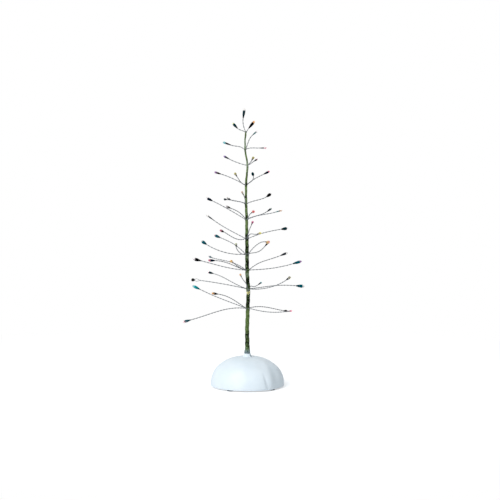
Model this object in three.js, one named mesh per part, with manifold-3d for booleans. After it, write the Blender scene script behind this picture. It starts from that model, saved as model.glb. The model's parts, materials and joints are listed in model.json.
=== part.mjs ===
// A small battery-powered light tree: fifty little lamps on twisted wire leads, a taped wire trunk
// and a moulded snow mound that holds three AA cells under a hinged door.
// Millimetres, +Z up. The origin is on the table, on the mean line of the trunk. -Y is the front.

import * as THREE from 'three';
import { mergeVertices } from 'three/addons/utils/BufferGeometryUtils.js';
import Module from 'manifold-3d';

const wasm = await Module();
wasm.setup();

// Gaps between neighbours
const SEAT = 0.3; // between pieces that touch on the real object
const WRAP_FIT = 0.15; // round the core wire and the lead bundle, inside the tape
const CUT = 1; // how far a cutting shape runs past what it cuts

// Whole base: it stands a little to the right of the trunk's mean line and is turned on the table
const BASE_OFFSET = 0.6;
const BASE_TURN = THREE.MathUtils.degToRad(-36);
const ROUND_STEPS = 40; // sides of the mound and the plate

// AA cells, three side by side along the base's own X
const CELL_RADIUS = 7.1;
const CELL_LENGTH = 50.5;
const CELL_NUB_RADIUS = 2.7;
const CELL_NUB_LENGTH = 1.2;
const CELL_EDGE = 0.6;
const CELL_SPACE = 0.5; // between two cells
const CELL_COUNT = 3;

// Feet, plate and battery bay
const FOOT_RADIUS = 3.9;
const FOOT_HEIGHT = 1.2;
const FOOT_EDGE = 0.3;
const FOOT_INSET = 0.1; // from the plate's edge to a foot
const FOOT_TURNS = [-5, 94, 175, -86]; // directions of the feet in degrees, in the base's own frame
const PLATE_THICKNESS = 1.8;
const BAY_WALL = 1.2;
const BAY_WALL_OVER = 1; // bay wall above the middle of the cells
const RIB_CROWN = 1.4; // material of the saddle ribs above the cells

// Battery door
const DOOR_THICKNESS = 1.4;
const DOOR_MARGIN = 1.3; // plate ledge outside the door at each end of the bay
const TAB_WIDTH = 6; // the tabs stand between two cells, where they swing clear of both
const TAB_THICKNESS = 0.9;
const LATCH_WIDTH = 12;
const LATCH_LENGTH = 6;
const LATCH_SLOT = 0.8;
const GRIP_COUNT = 3;
const GRIP_DEPTH = 0.4;
const GRIP_WIDTH = 0.6;
const GRIP_PITCH = 1.4;

// Battery contacts
const CONTACT_THICKNESS = 0.4;
const CONTACT_WIDTH = 9;
const CONTACT_HEIGHT = 11.3;
const CONTACT_SPACE = 2.05; // from the cell's end to the contact plate
const DIMPLE_RADIUS = 2;
const SPRING_OUTER = 4.4;
const SPRING_INNER = 2.3;
const SPRING_WIRE = 0.3;
const SPRING_ROOT = 0.1; // how deep the coil's first point sits in the plate
const SPRING_TURNS = 2;
const SPRING_STEPS = 8; // straight pieces per turn

// Screws
const PLATE_SCREW = { head: 2.4, headHeight: 1.4, shank: 1.1, length: 9, pilotDepth: 10 };
const BOARD_SCREW = { head: 1.6, headHeight: 0.9, shank: 0.8, length: 5, pilotDepth: 6 };
const PLATE_SCREW_SHARE = 0.5; // place along the bay, in its half lengths
const COLUMN_RADIUS = 3;
const COLUMN_ROOM = 1.8; // between the bay's wall and a screw column
const PAD_HEIGHT = 2; // raised pads of the plate that the columns stand on
const PAD_MARGIN = 0.6; // pad outside the column, all round
const SCREW_EDGE = 0.3;
const SCREW_TIP = 0.2;
const RECESS_WIDTH = 0.7; // cross recess of a screw head
const RECESS_DEPTH = 0.6;

// Slide switch in the plate
const SWITCH_WIDTH = 4.2;
const SWITCH_LENGTH = 8.6;
const SWITCH_HEIGHT = 4;
const SWITCH_WALL = 0.7;
const SWITCH_SHARE = -0.54; // place along the end wall, in half widths of the bay
const KNOB_WIDTH = 1.4;
const KNOB_LENGTH = 2;
const KNOB_TRAVEL = 2;
const KNOB_FLANGE = 0.4; // how far the knob's head is wider than its stem, all round
const KNOB_FLANGE_HEIGHT = 1.2;

// Circuit board over the cells
const BOARD_LENGTH = 27;
const BOARD_WIDTH = 18;
const BOARD_THICKNESS = 1.2;
const BOARD_SCREW_INSET = 3; // from the board's end
const POST_RADIUS = 2.2;
const CHIP = { length: 6, width: 4, height: 1.6, place: -5.5 };
const INNER_LEAD_RADIUS = 0.6;

// Snow mound
const MOUND_WALL = 2;
const MOUND_ROOM = 0.8; // between the bay's corners and the mound's wall
const MOUND_POWER = 2.25; // 2 is an ellipse; more is squarer at the shoulder
const MOUND_STEPS = 10;
const LOBE_HEIGHT = 0.35; // how far the uneven snow swells out, for the largest of its waves
const NECK_RADIUS = 3.7;
const NECK_ROOT = 0.6; // how much wider the neck's root is
const NECK_HEIGHT = 3;
const NECK_EDGE = 0.6;
const HOLLOW_RADIUS = 2.1; // small hollow beside the neck
const SOCKET_LENGTH = 9.4; // below the top of the mound
const SOCKET_WALL = 1.6;
const TAIL_LENGTH = 2.8; // free end of the lead bundle above the board

// Trunk
const TRUNK_HEIGHT = 241; // of the tape, above the neck
const CORE_RADIUS = 0.45;
const BUNDLE_FOOT_RADIUS = 1.55;
const BUNDLE_SWELL = 0.3; // how much wider the bundle may be inside the tape
const BUNDLE_WALL = 0.35; // the bundle ends where less than this is left round the core wire
const BUSHING_WALL = 0.65;
const TAPE_WALL = 0.35;
const TAPE_CAP = 2;
const TRUNK_STEPS = 20;
const TRUNK_SIDES = 10;
const BUNDLE_STEPS = 14;
// Trunk line: height as a share of the trunk's, sideways, back, radius over the tape
const TRUNK_LINE = [
  [0, 0.6, 0, 3.1],
  [0.017, 0.6, 0, 2.5],
  [0.104, 0.3, 0.4, 2.25],
  [0.2, 1, 0.5, 2.1],
  [0.278, 1.6, 0, 2.05],
  [0.373, 0.4, -0.4, 2.1],
  [0.465, 0.2, -0.2, 2.05],
  [0.606, -0.2, 0.4, 1.55],
  [0.689, -0.9, 0.3, 1.35],
  [0.759, -0.8, -0.2, 1.25],
  [0.846, 0.7, -0.3, 1],
  [0.921, -1.8, 0.1, 0.9],
  [0.959, -1.9, 0.3, 0.88],
  [1, -0.9, 0.2, 0.86],
];

// Leads and lamps
const LEAD_RADIUS = 0.4; // of a plain tube that fills the twisted pair's space
const HUB_WIRE = 0.35; // turn of lead round the trunk that a tier starts from
const SLEEVE_RADIUS = 1.3;
const SLEEVE_LENGTH = 6.4;
const SLEEVE_PROFILE = [[0.12, 0.5], [0.65, 0.94], [1, 1]]; // shares of its length and radius
const LAMP_RADIUS = 1.25;
const LAMP_LENGTH = 2.6;
const LAMP_PROFILE = [[0.55, 0.92], [1, 0.4]]; // shares of its length and radius
const LEAD_STEPS = 6;
const LEAD_SIDES = 5;
const LEAD_BEND = 0.36; // how stiffly a lead keeps its end directions
const WIDEST_REACH = 84; // of a lamp, from the trunk

// Wiring plan, from the crown down. A tier's height is a share of the trunk's. A lamp is: direction
// from the trunk, reach and rise above the tier, slope of the lead at the trunk, direction and slope
// in which the lamp points, and length of its sleeve where that isn't 1. Reach and rise are in
// hundredths of WIDEST_REACH, directions and slopes in degrees, sleeves in shares of SLEEVE_LENGTH.
const TIERS = [
  {
    name: 'crown',
    height: 0.995,
    lamps: [
      [355, -3, 29, 80, 250, 80, 1.25], [165, 17, 11, -5, 140, 40], [317, 14, 13, 0, 345, 50, 1.15],
    ],
  },
  {
    name: 'tier_02',
    height: 0.921,
    lamps: [
      [56, 26, 22, 55, 50, 30], [195, 28, 8, 45, 190, 20, 1.1], [331, 30, 1, 15, 345, 0],
    ],
  },
  {
    name: 'tier_03',
    height: 0.848,
    lamps: [
      [158, 32, 11, 10, 135, 20], [285, 29, 10, 20, 285, 25], [67, 31, 7, 5, 65, 15],
    ],
  },
  {
    name: 'tier_04',
    height: 0.761,
    lamps: [
      [197, 41, 16, 30, 215, 15], [250, 40, 15, -5, 255, 25], [78, 40, 14, 5, 100, 30],
      [44, 41, 16, 35, 40, 20],
    ],
  },
  {
    name: 'tier_05',
    height: 0.677,
    lamps: [
      [263, 40, 16, 10, 255, 30], [135, 40, 4, 15, 110, 0], [234, 40, 8, 20, 245, 15],
      [39, 41, 11, 20, 55, 20],
    ],
  },
  {
    name: 'tier_06',
    height: 0.607,
    lamps: [
      [165, 53, 26, 30, 145, 20], [241, 52, 18, 35, 235, 15], [280, 51, 12, 0, 290, 15],
      [53, 53, 11, 15, 55, 20], [329, 51, 12, 25, 335, 15],
    ],
  },
  {
    name: 'tier_07',
    height: 0.52,
    lamps: [
      [155, 57, 28, 25, 170, 35, 1.1], [234, 56, 13, -20, 245, 15], [278, 53, 24, 40, 280, 25],
      [288, 55, 10, 45, 295, 10], [29, 60, 11, 20, 35, 5],
    ],
  },
  {
    name: 'tier_08',
    height: 0.449,
    lamps: [
      [133, 62, 21, 35, 140, 15], [256, 56, 17, -5, 270, 25], [163, 61, 15, -10, 130, 20],
      [296, 59, 19, 35, 290, 0], [62, 61, 12, 5, 50, 35],
    ],
  },
  {
    name: 'tier_09',
    height: 0.377,
    lamps: [
      [133, 74, 13, 30, 115, 5], [228, 71, 17, 15, 220, 5], [197, 71, 16, 5, 200, 15],
      [253, 68, 17, 10, 250, 20], [44, 73, 18, 30, 15, 20], [19, 74, 9, 0, 10, 15, 1.2],
    ],
  },
  {
    name: 'tier_10',
    height: 0.292,
    lamps: [
      [128, 86, 15, 5, 130, 5], [154, 82, 8, 10, 110, -5], [262, 70, 25, 35, 260, 25],
      [314, 75, 20, 0, 300, 25], [74, 62, 2, 20, 60, 15], [39, 95, -3, 0, 5, -5, 1.1],
      [270, 69, 2, 0, 270, -10],
    ],
  },
  {
    name: 'tier_11',
    height: 0.204,
    lamps: [
      [148, 85, 24, 15, 170, 25], [235, 76, 26, 25, 230, 10], [217, 100, -10, 10, 210, -10],
      [52, 85, -12, 5, 55, -10], [311, 83, 4, -5, 315, 10],
    ],
  },
];

// Heights and places that follow from the sizes above
const plateBottom = FOOT_HEIGHT + SEAT;
const plateTop = plateBottom + PLATE_THICKNESS;
const doorTop = plateBottom + DOOR_THICKNESS;
const cellPitch = 2 * CELL_RADIUS + CELL_SPACE;
const cellHeight = Math.max(doorTop, plateTop) + SEAT + CELL_RADIUS;
const cellTop = cellHeight + CELL_RADIUS;
const contactPlace = CELL_LENGTH / 2 + CONTACT_SPACE; // face of a contact plate towards the cells
const bayX = contactPlace + CONTACT_THICKNESS + SEAT;
const bayY = (CELL_COUNT / 2) * cellPitch;
const doorX = bayX - DOOR_MARGIN;
const doorY = bayY - SEAT;
const switchX = bayX + BAY_WALL + SEAT + SWITCH_WIDTH / 2;
const switchY = SWITCH_SHARE * bayY;
const switchCorner = Math.hypot(switchX + SWITCH_WIDTH / 2, Math.abs(switchY) + SWITCH_LENGTH / 2);
const bayCorner = Math.hypot(bayX + BAY_WALL, bayY + BAY_WALL);
const moundInner = Math.max(switchCorner, bayCorner) + MOUND_ROOM;
const moundRadius = moundInner + MOUND_WALL;
const plateRadius = moundInner - SEAT;
const ribTop = cellTop + SEAT + RIB_CROWN;
const boardBottom = ribTop + SEAT;
const boardTop = boardBottom + BOARD_THICKNESS;
const socketBottom = boardTop + TAIL_LENGTH;
const moundTop = socketBottom + SOCKET_LENGTH;
const neckTop = moundTop + NECK_HEIGHT;
const treeFoot = neckTop + SEAT;
const socketBore = BUNDLE_FOOT_RADIUS + SEAT + BUSHING_WALL + SEAT;
const screwX = PLATE_SCREW_SHARE * bayX;
const screwY = bayY + BAY_WALL + SEAT + COLUMN_ROOM + COLUMN_RADIUS;
const boardScrewX = BOARD_LENGTH / 2 - BOARD_SCREW_INSET;
const ribX = boardScrewX + BOARD_SCREW.head + SEAT + BAY_WALL / 2; // outside the board's screws
const padTop = plateTop + PAD_HEIGHT;
const columnBottom = padTop + SEAT;

// Materials
const matt = (color, roughness = 0.7, metalness = 0) =>
  new THREE.MeshStandardMaterial({ color, roughness, metalness });
const materials = {
  snow: () => matt(0xe6f0f7, 0.35),
  plate: () => matt(0xdfe6ea, 0.55),
  rubber: () => matt(0x2b2f31, 0.9),
  steel: () => matt(0xb9bcc0, 0.35, 1),
  cell: () => matt(0x3f6f8f, 0.4, 0.4),
  board: () => matt(0x2f6b45, 0.6),
  black: () => matt(0x1c1e20, 0.6),
  wire: () => matt(0x8b8f92, 0.6),
  red: () => matt(0xa8322c, 0.6),
  tape: () => matt(0x3c4c2b, 0.8),
  nylon: () => matt(0xd8d4c6, 0.6),
  spray: () => matt(0x36454a, 0.5),
};

// Joining and cutting
function solid(geometry) {
  const bare = geometry.clone();
  bare.deleteAttribute('normal');
  bare.deleteAttribute('uv');
  const merged = mergeVertices(bare, 1e-5);
  const mesh = new wasm.Mesh({
    numProp: 3,
    vertProperties: Float32Array.from(merged.attributes.position.array),
    triVerts: Uint32Array.from(merged.index.array),
  });
  mesh.merge();
  return new wasm.Manifold(mesh);
}

function geometryOf(body) {
  const mesh = body.getMesh();
  const geometry = new THREE.BufferGeometry();
  geometry.setAttribute('position', new THREE.BufferAttribute(Float32Array.from(mesh.vertProperties), 3));
  geometry.setIndex(new THREE.BufferAttribute(Uint32Array.from(mesh.triVerts), 1));
  return geometry;
}

const join = (...bodies) => bodies.reduce((whole, body) => whole.add(body));
const cut = (body, ...tools) => tools.reduce((rest, tool) => rest.subtract(tool), body);

// Simple shapes, given by the space they fill
function block(x0, x1, y0, y1, z0, z1) {
  const geometry = new THREE.BoxGeometry(x1 - x0, y1 - y0, z1 - z0);
  geometry.translate((x0 + x1) / 2, (y0 + y1) / 2, (z0 + z1) / 2);
  return solid(geometry);
}

// A turned shape from [radius, height] points that start and end on the axis
function turned(profile, steps = 20, x = 0, y = 0) {
  const points = profile.map(([radius, height]) => new THREE.Vector2(radius, height));
  const geometry = new THREE.LatheGeometry(points, steps);
  geometry.rotateX(Math.PI / 2);
  geometry.translate(x, y, 0);
  return solid(geometry);
}

const rod = (radius, z0, z1, x = 0, y = 0, steps = 12) =>
  turned([[0, z0], [radius, z0], [radius, z1], [0, z1]], steps, x, y);

// A closed tube through points, with a radius at each point
function sweep(points, radii, sides) {
  const positions = [];
  const index = [];
  let across = new THREE.Vector3(1, 0, 0);
  points.forEach((point, i) => {
    const before = points[Math.max(i - 1, 0)];
    const after = points[Math.min(i + 1, points.length - 1)];
    const along = after.clone().sub(before).normalize();
    if (i === 0 && Math.abs(along.x) > 0.9) across = new THREE.Vector3(0, 0, 1);
    across = across.addScaledVector(along, -across.dot(along)).normalize();
    const over = along.clone().cross(across);
    for (let k = 0; k < sides; k++) {
      const angle = (2 * Math.PI * k) / sides;
      const corner = point
        .clone()
        .addScaledVector(across, radii[i] * Math.cos(angle))
        .addScaledVector(over, radii[i] * Math.sin(angle));
      positions.push(corner.x, corner.y, corner.z);
    }
  });
  for (let i = 0; i < points.length - 1; i++) {
    for (let k = 0; k < sides; k++) {
      const a = i * sides + k;
      const b = i * sides + ((k + 1) % sides);
      index.push(a, b, b + sides, a, b + sides, a + sides);
    }
  }
  const last = (points.length - 1) * sides;
  for (let k = 1; k < sides - 1; k++) {
    index.push(0, k + 1, k, last, last + k, last + k + 1);
  }
  const geometry = new THREE.BufferGeometry();
  geometry.setAttribute('position', new THREE.Float32BufferAttribute(positions, 3));
  geometry.setIndex(index);
  return solid(geometry);
}

// A round wire of one radius through a few points, smoothed
function wire(points, radius, steps = 12, sides = 6) {
  const curve = new THREE.CatmullRomCurve3(points.map((point) => new THREE.Vector3(...point)));
  const line = curve.getPoints(steps);
  return sweep(line, line.map(() => radius), sides);
}

// Snow mound: the radius grows and shrinks a little round the mound, but not at its rim
function lobes(angle, share) {
  const fade = Math.sin(Math.PI * Math.min(1, share * 1.2)) ** 2;
  const wave =
    Math.cos(2 * angle + 0.6) + 0.8 * Math.cos(3 * angle - 1.1) + 0.6 * Math.cos(5 * angle + 0.4);
  return LOBE_HEIGHT * fade * wave;
}

function moundBody(radius, height, foot) {
  const profile = [[0, foot]];
  if (foot < plateBottom) profile.push([radius, foot]);
  for (let i = 0; i <= MOUND_STEPS; i++) {
    const lift = (Math.PI / 2) * (i / MOUND_STEPS);
    const share = 2 / MOUND_POWER;
    const r = i === MOUND_STEPS ? 0 : radius * Math.cos(lift) ** share;
    profile.push([r, plateBottom + height * Math.sin(lift) ** share]);
  }
  const points = profile.map(([r, z]) => new THREE.Vector2(r, z));
  const geometry = new THREE.LatheGeometry(points, ROUND_STEPS);
  geometry.rotateX(Math.PI / 2);
  const position = geometry.attributes.position;
  for (let i = 0; i < position.count; i++) {
    const x = position.getX(i);
    const y = position.getY(i);
    const r = Math.hypot(x, y);
    if (r < 0.01) {
      position.setXY(i, 0, 0);
      continue;
    }
    const share = Math.max(0, position.getZ(i) - plateBottom) / height;
    const angle = Math.atan2(y, x);
    const grown = r + lobes(angle, share);
    position.setXY(i, (x * grown) / r, (y * grown) / r);
  }
  return solid(geometry);
}

const screwPlaces = [];
for (const sx of [-1, 1]) {
  for (const sy of [-1, 1]) screwPlaces.push([sx * screwX, sy * screwY]);
}
const boardScrewPlaces = [[-boardScrewX, 0], [boardScrewX, 0]];

function baseShell() {
  const height = moundTop - plateBottom;
  const outside = moundBody(moundRadius, height, plateBottom);
  let room = moundBody(moundInner, height - MOUND_WALL, plateBottom - CUT);
  const socketRadius = socketBore + SOCKET_WALL;
  room = cut(room, rod(socketRadius, socketBottom, moundTop, 0, 0, 16));
  for (const [x, y] of screwPlaces) {
    room = cut(room, rod(COLUMN_RADIUS, columnBottom, moundTop, x, y));
  }
  for (const [x, y] of boardScrewPlaces) {
    room = cut(room, rod(POST_RADIUS, boardTop + SEAT, moundTop, x, y));
  }
  const neck = turned(
    [[0, socketBottom + CUT], [NECK_RADIUS + NECK_ROOT, socketBottom + CUT],
      [NECK_RADIUS + NECK_ROOT, moundTop], [NECK_RADIUS, neckTop - NECK_EDGE],
      [NECK_RADIUS - NECK_EDGE, neckTop], [0, neckTop]],
    20,
  );
  const hollow = new THREE.SphereGeometry(HOLLOW_RADIUS, 10, 6);
  hollow.rotateX(Math.PI / 2);
  hollow.translate(
    NECK_RADIUS + HOLLOW_RADIUS * 0.6, -HOLLOW_RADIUS * 0.4, moundTop + HOLLOW_RADIUS * 0.35,
  );
  const bore = rod(socketBore, socketBottom - CUT, neckTop + CUT, 0, 0, 16);
  let shell = cut(join(cut(outside, room), neck), solid(hollow), bore);
  const plateHole = PLATE_SCREW.shank + SEAT;
  const plateHoleTop = columnBottom + PLATE_SCREW.pilotDepth;
  for (const [x, y] of screwPlaces) {
    shell = cut(shell, rod(plateHole, columnBottom - CUT, plateHoleTop, x, y, 10));
  }
  const boardHole = BOARD_SCREW.shank + SEAT;
  const postBottom = boardTop + SEAT;
  for (const [x, y] of boardScrewPlaces) {
    shell = cut(shell, rod(boardHole, postBottom - CUT, postBottom + BOARD_SCREW.pilotDepth, x, y, 8));
  }
  return shell;
}

// Base plate with the battery bay's walls, saddle ribs, screw pads and switch opening
const slotX = KNOB_WIDTH + 2 * SEAT;
const slotY = KNOB_LENGTH + KNOB_TRAVEL + 2 * SEAT;

function basePlate() {
  const disc = rod(plateRadius, plateBottom, plateTop, 0, 0, ROUND_STEPS);
  const outerX = bayX + BAY_WALL;
  const outerY = bayY + BAY_WALL;
  const wallTop = cellHeight + BAY_WALL_OVER;
  const root = plateTop - PLATE_THICKNESS / 2;
  const roomHeight = moundTop - MOUND_WALL - plateBottom;
  const wall = cut(
    block(-outerX, outerX, -outerY, outerY, root, wallTop),
    block(-bayX, bayX, -bayY, bayY, root - CUT, wallTop + CUT),
  ).intersect(moundBody(moundInner - SEAT, roomHeight - SEAT, plateBottom - CUT));
  let plate = join(disc, wall);
  for (const side of [-1, 1]) {
    const x = side * ribX;
    const rib = block(x - BAY_WALL / 2, x + BAY_WALL / 2, -outerY, outerY, cellHeight, ribTop);
    plate = plate.add(rib);
  }
  for (const [x, y] of screwPlaces) {
    plate = plate.add(rod(COLUMN_RADIUS + PAD_MARGIN, root, padTop, x, y));
  }
  for (let i = 0; i < CELL_COUNT; i++) {
    const room = new THREE.CylinderGeometry(CELL_RADIUS + SEAT, CELL_RADIUS + SEAT, 2 * bayX, 20);
    room.rotateZ(Math.PI / 2);
    room.translate(0, (i - (CELL_COUNT - 1) / 2) * cellPitch, cellHeight);
    plate = plate.subtract(solid(room).intersect(block(-bayX, bayX, -bayY, bayY, plateTop, ribTop)));
  }
  const reachX = doorX + SEAT;
  const reachY = doorY + SEAT;
  plate = plate.subtract(block(-reachX, reachX, -reachY, reachY, plateBottom - CUT, plateTop + CUT));
  const hole = PLATE_SCREW.shank + SEAT;
  const seat = PLATE_SCREW.head + SEAT;
  const seatTop = plateBottom + PLATE_SCREW.headHeight + 2 * SEAT;
  for (const [x, y] of screwPlaces) {
    const headSeat = rod(seat, plateBottom - CUT, seatTop, x, y);
    const through = rod(hole, plateBottom, padTop + CUT, x, y, 10);
    plate = cut(plate, headSeat, through);
  }
  const slot = block(
    switchX - slotX / 2, switchX + slotX / 2,
    switchY - slotY / 2, switchY + slotY / 2, plateBottom - CUT, plateTop + CUT,
  );
  return plate.subtract(slot);
}

// Battery door: two tabs hook over the plate at one end, a springy tongue latches the other
function batteryDoor() {
  let door = block(-doorX, doorX, -doorY, doorY, plateBottom, doorTop);
  for (const side of [-1, 1]) {
    const y0 = (side * cellPitch - TAB_WIDTH) / 2;
    const tabBottom = plateTop + SEAT;
    const y1 = y0 + TAB_WIDTH;
    const tabTop = tabBottom + TAB_THICKNESS;
    const neck = block(-doorX, -doorX + BAY_WALL, y0, y1, doorTop - CUT, tabTop);
    const hook = block(-bayX + SEAT, -doorX + BAY_WALL, y0, y1, tabBottom, tabTop);
    door = join(door, neck, hook);
  }
  const half = LATCH_WIDTH / 2;
  const slots = [-1, 1].map((side) => {
    const y0 = side * half - LATCH_SLOT / 2;
    return block(
      doorX - LATCH_LENGTH, doorX + CUT, y0, y0 + LATCH_SLOT, plateBottom - CUT, doorTop + CUT,
    );
  });
  const grips = Array.from({ length: GRIP_COUNT }, (_, i) => {
    const x = doorX - LATCH_LENGTH / 2 + (i - (GRIP_COUNT - 1) / 2) * GRIP_PITCH;
    return block(
      x - GRIP_WIDTH / 2, x + GRIP_WIDTH / 2, -half + LATCH_SLOT, half - LATCH_SLOT,
      plateBottom - CUT, plateBottom + GRIP_DEPTH,
    );
  });
  return cut(door, ...slots, ...grips);
}

function foot() {
  return turned(
    [[0, 0], [FOOT_RADIUS - FOOT_EDGE, 0], [FOOT_RADIUS, FOOT_EDGE],
      [FOOT_RADIUS, FOOT_HEIGHT], [0, FOOT_HEIGHT]],
    20,
  );
}

// A pan-head screw that points up, its head's underside at height 0
function screw(size) {
  const tip = size.headHeight + size.length;
  const body = turned(
    [[0, 0], [size.head - SCREW_EDGE, 0], [size.head, SCREW_EDGE], [size.head, size.headHeight],
      [size.shank, size.headHeight], [size.shank, tip - size.shank], [SCREW_TIP, tip], [0, tip]],
    9,
  );
  const arm = size.head * 0.6;
  const half = RECESS_WIDTH / 2;
  return cut(
    body,
    block(-arm, arm, -half, half, -CUT, RECESS_DEPTH),
    block(-half, half, -arm, arm, -CUT, RECESS_DEPTH),
  );
}

// An AA cell along X, its nub towards +X
function cell() {
  const half = CELL_LENGTH / 2;
  const shoulder = half - CELL_NUB_LENGTH;
  const body = turned(
    [[0, -half], [CELL_RADIUS - CELL_EDGE, -half], [CELL_RADIUS, -half + CELL_EDGE],
      [CELL_RADIUS, shoulder - CELL_EDGE], [CELL_RADIUS - CELL_EDGE, shoulder],
      [CELL_NUB_RADIUS, shoulder], [CELL_NUB_RADIUS, half], [0, half]],
    16,
  );
  const geometry = geometryOf(body);
  geometry.rotateY(Math.PI / 2);
  return solid(geometry);
}

// Contact plates stand in the planes at the ends of the bay. Side 1 is the +X end.
// They start above the path of the door's tabs.
const rowY = (row) => (row - (CELL_COUNT - 1) / 2) * cellPitch;
const contactBottom = plateTop + TAB_THICKNESS + 2 * SEAT;

function contactPlate(side, y0, y1) {
  const near = side * contactPlace;
  const far = side * (contactPlace + CONTACT_THICKNESS);
  const top = contactBottom + CONTACT_HEIGHT;
  return block(Math.min(near, far), Math.max(near, far), y0, y1, contactBottom, top);
}

function dimple(side, row) {
  const reach = CONTACT_SPACE - SEAT;
  const root = CONTACT_THICKNESS / 2;
  const geometry = new THREE.CylinderGeometry(DIMPLE_RADIUS * 0.6, DIMPLE_RADIUS, reach + root, 12);
  geometry.translate(0, (reach - root) / 2, 0);
  geometry.rotateZ((side * Math.PI) / 2);
  geometry.translate(side * contactPlace, rowY(row), cellHeight);
  return solid(geometry);
}

function springPoints(side, row) {
  const steps = SPRING_STEPS * SPRING_TURNS;
  const start = contactPlace + SPRING_ROOT;
  const end = contactPlace - CONTACT_SPACE + SEAT + SPRING_WIRE;
  return Array.from({ length: steps + 1 }, (_, i) => {
    const share = i / steps;
    const angle = 2 * Math.PI * SPRING_TURNS * share;
    const radius = SPRING_OUTER + (SPRING_INNER - SPRING_OUTER) * share;
    return new THREE.Vector3(
      side * (start + (end - start) * share),
      rowY(row) + radius * Math.cos(angle),
      cellHeight + radius * Math.sin(angle),
    );
  });
}

function springCoil(side, row) {
  const points = springPoints(side, row);
  return sweep(points, points.map(() => SPRING_WIRE), 5);
}

// Least gap of a coil to itself, from points more than half a turn apart
function leastGap(points, thickness, apart) {
  let least = Infinity;
  for (let i = 0; i < points.length; i++) {
    for (let k = i + apart; k < points.length; k++) {
      least = Math.min(least, points[i].distanceTo(points[k]) - thickness);
    }
  }
  return least;
}

const halfContact = CONTACT_WIDTH / 2;
const contactPlates = (side, first, last) =>
  contactPlate(side, rowY(first) - halfContact, rowY(last) + halfContact);
const contacts = {
  contact_positive: () => join(contactPlates(1, 0, 0), dimple(1, 0)),
  contact_bridge_a: () => join(contactPlates(-1, 0, 1), springCoil(-1, 0), dimple(-1, 1)),
  contact_bridge_b: () => join(contactPlates(1, 1, 2), springCoil(1, 1), dimple(1, 2)),
  contact_negative: () => join(contactPlates(-1, 2, 2), springCoil(-1, 2)),
};

// Slide switch: an upturned cup on the plate, and a knob whose head rides inside it
const switchBottom = plateTop + SEAT;
const switchTop = switchBottom + SWITCH_HEIGHT;

function switchBody() {
  const x = SWITCH_WIDTH / 2;
  const y = SWITCH_LENGTH / 2;
  const roomX = x - SWITCH_WALL;
  const roomY = y - SWITCH_WALL;
  return cut(
    block(switchX - x, switchX + x, switchY - y, switchY + y, switchBottom, switchTop),
    block(
      switchX - roomX, switchX + roomX, switchY - roomY, switchY + roomY,
      switchBottom - CUT, switchTop - SWITCH_WALL,
    ),
  );
}

function switchKnob() {
  const y = switchY - KNOB_TRAVEL / 2;
  const stemX = KNOB_WIDTH / 2;
  const stemY = KNOB_LENGTH / 2;
  const flangeX = stemX + KNOB_FLANGE;
  const flangeY = stemY + KNOB_FLANGE;
  const flangeTop = switchBottom + KNOB_FLANGE_HEIGHT;
  return join(
    block(switchX - stemX, switchX + stemX, y - stemY, y + stemY, plateBottom + SEAT, flangeTop),
    block(switchX - flangeX, switchX + flangeX, y - flangeY, y + flangeY, switchBottom, flangeTop),
  );
}

function circuitBoard() {
  const x = BOARD_LENGTH / 2;
  const y = BOARD_WIDTH / 2;
  const hole = BOARD_SCREW.shank + SEAT;
  const holes = boardScrewPlaces.map(([holeX, holeY]) =>
    rod(hole, boardBottom - CUT, boardTop + CUT, holeX, holeY, 10),
  );
  return cut(block(-x, x, -y, y, boardBottom, boardTop), ...holes);
}

function controllerChip() {
  const x = CHIP.length / 2;
  const y = CHIP.width / 2;
  const z = boardTop + SEAT;
  return block(-x, x, CHIP.place - y, CHIP.place + y, z, z + CHIP.height);
}

// Inner leads: from the cells to the switch, from the switch to the board, and from the board back
const leadFoot = boardTop + SEAT + INNER_LEAD_RADIUS;
const contactTop = contactBottom + CONTACT_HEIGHT + SEAT;
const leadHead = contactTop + INNER_LEAD_RADIUS;
const boardEdge = BOARD_LENGTH / 2;
const leadPaths = {
  lead_cell_to_switch: [
    [contactPlace, rowY(0), contactTop],
    [contactPlace + 1, rowY(0) + 0.6, leadHead + 1.2],
    [switchX - 0.6, switchY - 1.4, leadHead - 2],
    [switchX, switchY - 1, switchTop + 3],
    [switchX, switchY - 1, switchTop + SEAT],
  ],
  lead_switch_to_board: [
    [switchX, switchY + 2.4, switchTop + SEAT],
    [switchX - 0.2, switchY + 2.4, switchTop + 4],
    [switchX - 3.4, switchY + 3.6, leadHead + 1.6],
    [boardEdge + 4, -6, leadFoot + 1.2],
    [boardEdge, -5.2, leadFoot + 0.6],
    [boardEdge - 3, -5, leadFoot],
  ],
  lead_board_to_cell: [
    [-contactPlace, rowY(2), contactTop],
    [-contactPlace + 1, rowY(2) - 1, leadHead + 2],
    [-boardEdge - 6, 9, leadHead + 4],
    [-boardEdge - 1, 6.4, leadFoot + 1],
    [-boardEdge + 2.5, 6, leadFoot],
  ],
};

// Trunk line at any height above the neck, with smooth steps between the listed points
function trunkAt(height) {
  const rows = TRUNK_LINE.map(([share, ...rest]) => [share * TRUNK_HEIGHT, ...rest]);
  let i = 0;
  while (i < rows.length - 2 && height > rows[i + 1][0]) i++;
  const [from, to] = [rows[i], rows[i + 1]];
  const share = THREE.MathUtils.clamp((height - from[0]) / (to[0] - from[0]), 0, 1);
  const eased = share * share * (3 - 2 * share);
  const mix = (k) => from[k] + (to[k] - from[k]) * eased;
  return { x: mix(1), y: mix(2), radius: from[3] + (to[3] - from[3]) * share };
}

// Points up the trunk between two heights above the neck
function trunkPoints(low, high, steps) {
  return Array.from({ length: steps + 1 }, (_, i) => {
    const height = low + ((high - low) * i) / steps;
    const { x, y } = trunkAt(height);
    return new THREE.Vector3(x, y, treeFoot + height);
  });
}

const heightOf = (point) => point.z - treeFoot;
const coreBore = CORE_RADIUS + WRAP_FIT;

// Inside of the tape: it leaves room for the bundle, or at least for the core wire
const tapeBore = (height) => Math.max(trunkAt(height).radius - TAPE_WALL, coreBore);

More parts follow.
